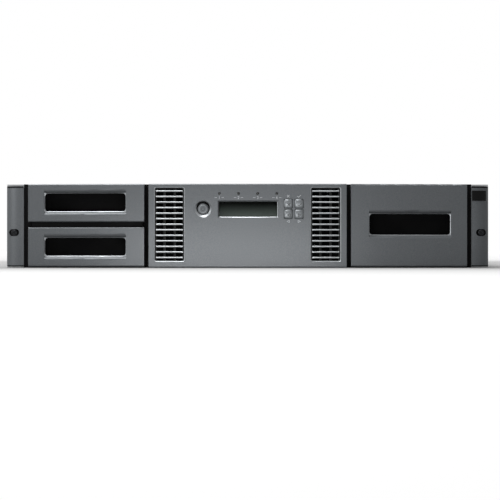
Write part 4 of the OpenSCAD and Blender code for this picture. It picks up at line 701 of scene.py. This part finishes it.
# %% Bushes and screws in the ears
around = np.arange(96) * 2 * math.pi / 96
from_sixth = np.abs((np.degrees(around) + 30) % 60 - 30)
slot_x, slot_z, slot_w, slot_h = 232.55 * mm, 35 * mm, 10.2 * mm, 6.9 * mm
ear_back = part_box("rack_ear_right")[1].y
cap_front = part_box("ear_cap_right")[0].y
mouth, lip, tail = cap_front + 2.6 * mm, cap_front + 2.1 * mm, ear_back - 16 * mm
bush_steps = ((0, tail), (0, mouth), (0.5 * mm, lip), (0.9 * mm, mouth))
round_steps = ((3.0, 0), (3.0, 1.2), (2.75, 1.55), (2.2, 1.75), (1.5, 1.8))
socket_steps = ((1.25, 1.75), (1.25, 0.6))
shade_bushes, screws = [], []
for side in (-1, 1):
    rings = []
    for inset, y in bush_steps:
        r = slot_h / 2 - inset - 0.01 * mm
        flat = rounded_path(side * slot_x, slot_z, slot_w - 2 * inset, slot_h - 2 * inset, r)
        rings.append(np.stack([flat[:, 0], np.full(len(flat), y), flat[:, 1]], 1))
    shade_bushes.append(tube(np.stack(rings)))
    rings = []
    for radius, height in round_steps + socket_steps:
        six = np.cos(np.radians(from_sixth)) if (radius, height) in socket_steps else 1
        r, y = radius * mm / six, np.full(len(around), cap_front + (2.7 - height) * mm)
        rings.append(np.stack([side * slot_x + r * np.cos(around), y, slot_z + r * np.sin(around)], 1))
    screws.append(tube(np.stack(rings)))
# painted shade: black bushes fill the slots where a deep hole would lie in shade
piece("slot_shade_bushes", shade_bushes, grained_black, "chassis")
piece("rack_screws", screws, motor_black, "chassis")

# %% [markdown]
# Each ear's cap has a black band at its top and foot, painted shade for the dark lines of shade
# along those edges. A band follows the cap's plan: flat, then an arc of 20 mm radius round to the
# thin outer edge, where it stops a little short.

# %% Black bands of painted shade on the ear caps
cap_low, cap_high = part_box("ear_cap_right")
cap_r = 20 * mm
turn_x = cap_high.x - math.sqrt(cap_r**2 - (cap_r - 7 * mm) ** 2)
short = 0.985
sweep = np.linspace(0, math.asin((cap_high.x - turn_x) / cap_r) * short, 24)
turn = np.stack([turn_x + cap_r * np.sin(sweep), cap_low.y + cap_r * (1 - np.cos(sweep))], 1)
plan = np.concatenate([[[cap_low.x + 0.3 * mm, cap_low.y]], turn])
inset, foot_h, top_h, proud, deep = 0.02 * mm, 1.0 * mm, 1.5 * mm, 0.12 * mm, 0.6 * mm
heights = ((cap_low.z + inset, cap_low.z + foot_h), (cap_high.z - top_h, cap_high.z - inset))
shade_bands = []
for side in (-1, 1):
    for foot, top in heights:
        rings = []
        for out, z in ((proud, foot), (proud, top), (-deep, top), (-deep, foot)):
            rings.append(np.stack([side * plan[:, 0], plan[:, 1] - out, np.full(len(plan), z)], 1))
        shade_bands.append(tube(np.stack(rings, 1)))
# painted shade: black bands where dark lines of shade run along the caps' top and foot
piece("ear_cap_edging", shade_bands, grained_black, "chassis")

# %% [markdown]
# Each lamp ends in a low dome of dark resin. Its profile is a quarter of an ellipse: at an angle t
# the radius is r cos t and the height h sin t.

# %% Lamp lenses
led_low, led_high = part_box("status_leds")
led_r = (led_high.z - led_low.z) / 2
led_count = 4
led_x = np.linspace(led_low.x + led_r, led_high.x - led_r, led_count)
led_z = (led_low.z + led_high.z) / 2
lens_r, lens_h, sunk = led_r - 0.02 * mm, 0.35 * mm, 0.2 * mm
dome = [(lens_r * math.cos(t), lens_h * math.sin(t)) for t in np.linspace(0, math.pi / 2 * 0.96, 7)]
lenses = [turned([(lens_r, -1 * mm)] + dome, 24, (x, bow(x, sunk), led_z)) for x in led_x]
piece("lamp_lenses", lenses, lamp_resin, "chassis")

# %% [markdown]
# ## Printed marks
#
# The marks are pad-printed in pale grey ink: plain numbers under the lamps, generic signs at the
# keys, and the usual sign for on and off on the power button. A mark is a stroke of even width
# along a path. The path is carried over the bowed front: a point at (x, z) is set on the bow, and
# the ink stands 0.03 mm proud of it and reaches 0.05 mm into it.

# %% Ink and strokes
def ink(name, dark, light):
    """Matt screen ink with the slight mottle of a print, 0.8 mm across."""
    made, tree, shader, place = finish(name, IOR=1.5, Roughness=0.6)
    mottle = add(tree, "TexNoise", {"Vector": place, "Scale": 1 / (0.8 * mm)})
    tone = add(tree, "Mix", {"Factor": mottle, 6: linear(dark), 7: linear(light)}, data_type="RGBA")
    wire(tree, shader, {"Base Color": tone})
    return made


pale_ink = ink("pale grey printing ink", "b4b7ba", "c6c9cc")
dark_ink = ink("dark grey printing ink", "2b2d2f", "343638")


def stroke(path, width, surface):
    """A flat ribbon along path, an array of (x, z), partly sunk in the surface y = surface(x, z)."""
    path = np.asarray(path, float)
    step = np.gradient(path, axis=0)
    step /= np.linalg.norm(step, axis=1)[:, None]
    side = np.stack([-step[:, 1], step[:, 0]], 1) * width / 2
    rings = []
    proud, deep = -0.03 * mm, 0.05 * mm
    for share, lift in ((1, proud), (-1, proud), (-1, deep), (1, deep)):
        flat = path + share * side
        rings.append(np.stack([flat[:, 0], surface(flat[:, 0], flat[:, 1]) + lift, flat[:, 1]], 1))
    return tube(np.stack(rings, 1))


def arc(x, z, r, start, end, count=24):
    """Points along an arc, angles in degrees from +X towards +Z."""
    a = np.radians(np.linspace(start, end, count))
    return np.stack([x + r * np.cos(a), z + r * np.sin(a)], 1)


def bend(*points, count=4):
    """Straight runs between points, each cut into count short steps."""
    points = np.asarray(points, float)
    share = np.linspace(0, 1, count, endpoint=False)[:, None]
    runs = [a + (b - a) * share for a, b in zip(points, points[1:])]
    return np.concatenate(runs + [points[-1:]])


def digit(number, x, z, h):
    """The strokes of 1, 2, 3 or 4, h tall and centred on (x, z)."""
    r = h / 4
    if number == 1:
        return [bend((x - 0.6 * r, z + 1.2 * r), (x, z + 2 * r)), bend((x, z + 2 * r), (x, z - 2 * r))]
    if number == 2:
        top, foot = arc(x, z + r, r, 170, -35), (x - r, z - 2 * r)
        return [np.concatenate([top, bend(top[-1], foot)[1:]]), bend(foot, (x + r, z - 2 * r))]
    if number == 3:
        return [arc(x - 0.1 * r, z + r, r, 150, -90), arc(x - 0.1 * r, z - r, r, 90, -150)]
    top, left = (x + 0.4 * r, z + 2 * r), (x - 1.2 * r, z - 0.8 * r)
    return [bend((x + 0.4 * r, z - 2 * r), top), bend(top, left), bend(left, (x + 1.2 * r, z - 0.8 * r))]


def on_bow(x, z):
    """The bowed front, the same at every height."""
    return bow(x)


line, digit_h = 0.42 * mm, 2.4 * mm
mark_z = led_z - 4.0 * mm
marks = []
for number, x in enumerate(led_x, 1):
    for path in digit(number, x, mark_z, digit_h):
        marks.append(stroke(path, line, on_bow))
    for side in (-1, 1):
        dash = bend((x + side * 2.2 * mm, mark_z), (x + side * 4.6 * mm, mark_z))
        marks.append(stroke(dash, line, on_bow))
print("numbers", led_count, "from", len(marks), "strokes")

# %% Signs at the keys
up_left, up_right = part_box("key_up_left"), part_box("key_up_right")
down_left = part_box("key_down_left")
left_x, right_x = [(low.x + high.x) / 2 for low, high in (up_left, up_right)]
above_z, below_z = up_left[1].z + 2.9 * mm, down_left[0].z - 2.7 * mm
r = 1.15 * mm
hook = ((-1.5 * r, 0.1 * r), (-0.4 * r, -r), (1.5 * r, r))
runs = [(left_x, above_z, ((-r, -r), (r, r))), (left_x, above_z, ((-r, r), (r, -r)))]
runs += [(right_x, above_z, pair) for pair in zip(hook, hook[1:])]
for x, way in ((left_x, -1), (right_x, 1)):
    tip, foot = x + way * 1.3 * r, x - way * 0.9 * r
    for pair in (((tip, 0), (foot, r)), ((foot, r), (foot, -r)), ((foot, -r), (tip, 0))):
        runs.append((0, below_z, pair))
for x, z, (a, b) in runs:
    marks.append(stroke(bend((x + a[0], z + a[1]), (x + b[0], z + b[1])), line, on_bow))
piece("printed_marks", marks, pale_ink, "chassis")

# %% [markdown]
# Each key also carries its sign in dark ink, low on its face. The ink follows the cushion: its
# height is the cushion's own formula, read at the stroke's x and z.

# %% Signs on the keys
def cushion(name):
    """The face of a key as y = f(x, z), from the key's box and the cushion's formula."""
    low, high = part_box(name)
    middle_x, middle_z = (low.x + high.x) / 2, (low.z + high.z) / 2

    def face(x, z):
        u, v = (x - middle_x) / (high.x - low.x) * 2, (z - middle_z) / (high.z - low.z) * 2
        edge = np.maximum(np.abs(u), np.abs(v))
        return low.y + key_dome * (u**2 + v**2) / 2 + key_skirt * edge**8

    return face


r, sign_line, right, down = 1.3 * mm, 0.75 * mm, 0.5 * mm, 1.0 * mm
signs = {
    "key_up_left": [[(-r, -r), (r, r)], [(-r, r), (r, -r)]],
    "key_up_right": [[(-1.3 * r, 0), (-0.3 * r, -r), (1.3 * r, r)]],
    "key_down_left": [[(r, r), (-r, 0), (r, -r), (r, r)]],
    "key_down_right": [[(-r, r), (r, 0), (-r, -r), (-r, r)]],
}
for name, paths in signs.items():
    low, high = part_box(name)
    x, z = (low.x + high.x) / 2 + right, (low.z + high.z) / 2 - down
    runs = [bend(*[(x + a, z + b) for a, b in path]) for path in paths]
    printed = [stroke(run, sign_line, cushion(name)) for run in runs]
    piece(name + "_sign", printed, dark_ink, name)

# %% [markdown]
# ## Power button
#
# The button sits in a black well whose silver bevel is a crescent: its outer and inner edges are
# circles, the inner one smaller and raised, so that the bevel is thin above and broad below, where
# it looks up into the light. The bevel wears the brighter lacquer, a painted highlight, and the
# well's black is painted shade for the deep hole round the button. A point on the bevel lies a
# share k of the way from the one circle to the other, and k times the depth back. Bevel and well
# stand for the plain ring of the engineering model. The button has a raised rim of round section:
# with u running over the section and v round the button, a point is at radius R + r cos u and
# height r sin u.

# %% Crescent, well, rim and sign of the power button
def on_button(x, z):
    """The flat face of the power button."""
    return np.full(np.shape(x), button_y)


def hoop(x, z, radius, y):
    """Points on a circle that faces the front."""
    return np.stack([x + radius * np.cos(around), np.full(len(around), y), z + radius * np.sin(around)], 1)


ring_low, ring_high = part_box("button_ring")
button_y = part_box("power_button")[0].y
button_x, button_z = (ring_low.x + ring_high.x) / 2, (ring_low.z + ring_high.z) / 2
ring_r, face_y = (ring_high.x - ring_low.x) / 2, ring_low.y
inner_r, inner_z, well_r = ring_r - 1.5 * mm, button_z + 1.1 * mm, 5.65 * mm
crescent = [hoop(button_x, button_z, ring_r, face_y + deep * mm) for deep in (3.8, 0)]
crescent += [hoop(button_x, inner_z, inner_r, face_y + deep * mm) for deep in (1.5, 3.8)]
well = [hoop(button_x, inner_z, inner_r + 0.05 * mm, face_y + deep * mm) for deep in (3.9, 1.6)]
well += [hoop(button_x, inner_z, inner_r - 0.4 * mm, face_y + 1.6 * mm)]
well += [hoop(button_x, button_z, well_r, face_y + deep * mm) for deep in (2.6, 3.9)]
ring = tube(np.stack(crescent), round_rows=True)
# painted highlight: the crescent wears the brighter bevel lacquer
made = piece("button_crescent", [ring], highlight_lacquer, "chassis")
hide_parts("button_ring")
# painted shade: the well is black where the deep hole round the button lies in shade
ring = tube(np.stack(well), round_rows=True)
piece("button_shade_well", [ring], grained_black, "chassis")

u = np.linspace(0, 2 * math.pi, 12, endpoint=False)[:, None]
rim_r, bead = 3.6 * mm, 0.4 * mm
swept_r, swept_y = rim_r + bead * np.cos(u), button_y - bead * np.sin(u) + 0 * around
swept = [button_x + swept_r * np.cos(around), swept_y, button_z + swept_r * np.sin(around)]
ring = tube(np.stack(swept, -1), round_rows=True)
piece("button_rim", [ring], key_lacquer, "power_button")
sign_line = 0.45 * mm
bar = bend((button_x, button_z + 0.3 * mm), (button_x, button_z + 2.2 * mm))
sign = [stroke(arc(button_x, button_z, 1.6 * mm, 125, 415, 40), sign_line, on_button)]
sign += [stroke(bar, sign_line, on_button)]
piece("power_sign", sign, dark_ink, "power_button")

# %% [markdown]
# ## Floor and light
#
# The floor is white paper. Where the camera, a reflection or a window sees it, it is lifted towards
# white by the share d / (d + 0.26 m), d being the distance from the model's footprint, so the shadow
# at its foot stays. Since the lift is small near the footprint, the paper also stays grey all round
# the model: a painted shadow, a soft halo that stands in for a contact shadow. To the camera the room
# is white all round; a reflection sees it white behind the model and darker before it. The light
# that falls on the model comes from the lamps and a much dimmer room. The ray's own kind tells all
# these apart.

# %% Floor
def sees_white(tree):
    """1 for rays from the camera and for reflections and views through windows, 0 for others."""
    path = add(tree, "LightPath").outputs
    seen = add(tree, "Math", {0: path["Is Camera Ray"], 1: path["Is Glossy Ray"]}, operation="ADD")
    return add(tree, "Math", {0: seen, 1: path["Is Transmission Ray"]}, operation="ADD", use_clamp=True)


def floor_paper(half_x, half_y, reach):
    """Seamless paper with a faint fibre of 4 mm; reach is how far off it is lifted halfway to white, and
    nearer the model it stays grey, a painted shadow.
    """
    made, tree, shader, place = finish("white seamless paper", Roughness=0.9, IOR=1.4)
    fibre = add(tree, "TexNoise", {"Vector": place, "Scale": 1 / (4 * mm)})
    tone = add(tree, "Mix", {"Factor": fibre, 6: linear("7c7c7c"), 7: linear("7f7f7f")}, data_type="RGBA")
    past = add(tree, "VectorMath", {0: place}, operation="ABSOLUTE")
    past = add(tree, "VectorMath", {0: past, 1: (half_x, half_y, 0)}, operation="SUBTRACT")
    past = add(tree, "VectorMath", {0: past, 1: (0, 0, 0)}, operation="MAXIMUM")
    away = add(tree, "VectorMath", {0: past}, operation="LENGTH").outputs["Value"]
    rise = add(tree, "Math", {0: away, 1: reach}, operation="ADD")
    # painted shadow: the lift is small near the footprint, so the paper stays grey round the model
    lift = add(tree, "Math", {0: away, 1: rise}, operation="DIVIDE")
    seen = add(tree, "Math", {0: sees_white(tree), 1: lift}, operation="MULTIPLY")
    white = {"Emission Color": linear("ffffff"), "Emission Strength": seen}
    wire(tree, shader, {"Base Color": tone, **white})
    return made


floor_r = 15
rim = np.stack([floor_r * np.cos(around), floor_r * np.sin(around), np.zeros(len(around))], 1)
floor_mesh = bpy.data.meshes.new("floor")
floor_mesh.from_pydata(rim.tolist(), [], [list(range(len(rim)))])
floor_mesh.materials.append(floor_paper(half_x=0.22, half_y=0.38, reach=0.26))
floor = bpy.data.objects.new("floor", floor_mesh)
bpy.context.scene.collection.objects.link(floor)
floor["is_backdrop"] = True
print("floor", 2 * floor_r, "m across")

# %% [markdown]
# ## Room and lamps
#
# A broad lamp hangs overhead, a little to the left and in front. A weaker one far to the left shapes
# the edges, and a third lights the back. A low, wide card in front brightens the front near its
# foot, more in the middle than at the ends. It stands so near the floor that it would burn a patch
# into the paper, so light linking leaves the floor out.

# %% Room and lamps
room = bpy.data.worlds.new("room")
bpy.context.scene.world = room
room.use_nodes = True
tree = room.node_tree
tree.nodes.clear()
way = add(tree, "TexCoord").outputs["Generated"]
way = add(tree, "SeparateXYZ", {0: way}).outputs["Y"]
before_model, light_on_model = 0.3, 0.12
behind = add(tree, "MapRange", {0: way, 1: 0.0, 2: 0.6, 3: before_model, 4: 1.0})
eye = add(tree, "LightPath").outputs["Is Camera Ray"]
seen = add(tree, "Math", {0: behind, 1: eye}, operation="MAXIMUM")
glow = add(tree, "Mix", {"Factor": sees_white(tree), "A": light_on_model, "B": seen})
back = add(tree, "Background", {"Color": linear("ffffff"), "Strength": glow})
add(tree, "OutputWorld", {"Surface": back})


def softbox(name, place, aim, size, power):
    """A rectangular lamp at place, turned so that it shines towards aim."""
    lamp = bpy.data.lights.new(name, "AREA")
    lamp.shape = "RECTANGLE"
    lamp.size, lamp.size_y = size
    lamp.energy = power
    made = bpy.data.objects.new(name, lamp)
    made.location = place
    x, y, z = np.asarray(aim, float) - np.asarray(place, float)
    made.rotation_euler = (math.atan2(math.hypot(x, y), -z), 0, math.atan2(y, x) - math.pi / 2)
    made.visible_camera = False
    bpy.context.scene.collection.objects.link(made)
    return made


front_y = cad_low[1]
softbox("overhead", (-0.35, front_y - 0.1, 1.0), (-0.05, front_y, 0.0), (1.3, 0.6), 20)
softbox("left_lamp", (-1.3, front_y - 0.7, 0.5), (-0.05, front_y, 0.04), (0.5, 0.5), 5)
softbox("rear_lamp", (0.2, 1.2, 1.0), (0, 0.3, 0.04), (1.6, 1.0), 6)
low_card = softbox("low_card", (-0.03, front_y - 0.26, 0.012), (-0.03, front_y, 0.012), (0.3, 0.02), 0.27)
unlit = bpy.data.collections.new("unlit_by_the_low_card")
unlit.objects.link(floor)
unlit.collection_objects[0].light_linking.link_state = "EXCLUDE"
low_card.light_linking.receiver_collection = unlit

# %% [markdown]
# ## Camera
#
# The camera stands level and square to the front, a little above the floor and 1.6 m from the rack
# ears, with a long lens. It sees the front as one does who kneels before the rack.

# %% Camera
camera = bpy.data.objects.new("camera", bpy.data.cameras.new("camera"))
ear_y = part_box("rack_ear_left")[0].y
distance, aside, eye_height = 1.6, 2.4 * mm, 17.6 * mm
camera.location = (aside, ear_y - distance, eye_height)
camera.rotation_euler = (math.pi / 2, 0, 0)
camera.data.lens = 115.2
camera.data.sensor_width = 36
camera.data.clip_start = 0.01
bpy.context.scene.collection.objects.link(camera)
bpy.context.scene.camera = camera
bpy.context.scene.view_settings.view_transform = "Standard"

# %% [markdown]
# ## Check the size and finish
#
# The dressed model is measured against the box of the engineering model, and how much it has grown is
# printed. The dressed model must fill the box of the engineering model and no more.

# %% Sizes and the end
low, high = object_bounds()
grown = [((b - a) - (d - c)) / mm for a, b, c, d in zip(low, high, cad_low, cad_high)]
print("grown by, in mm", [round(size, 2) for size in grown])
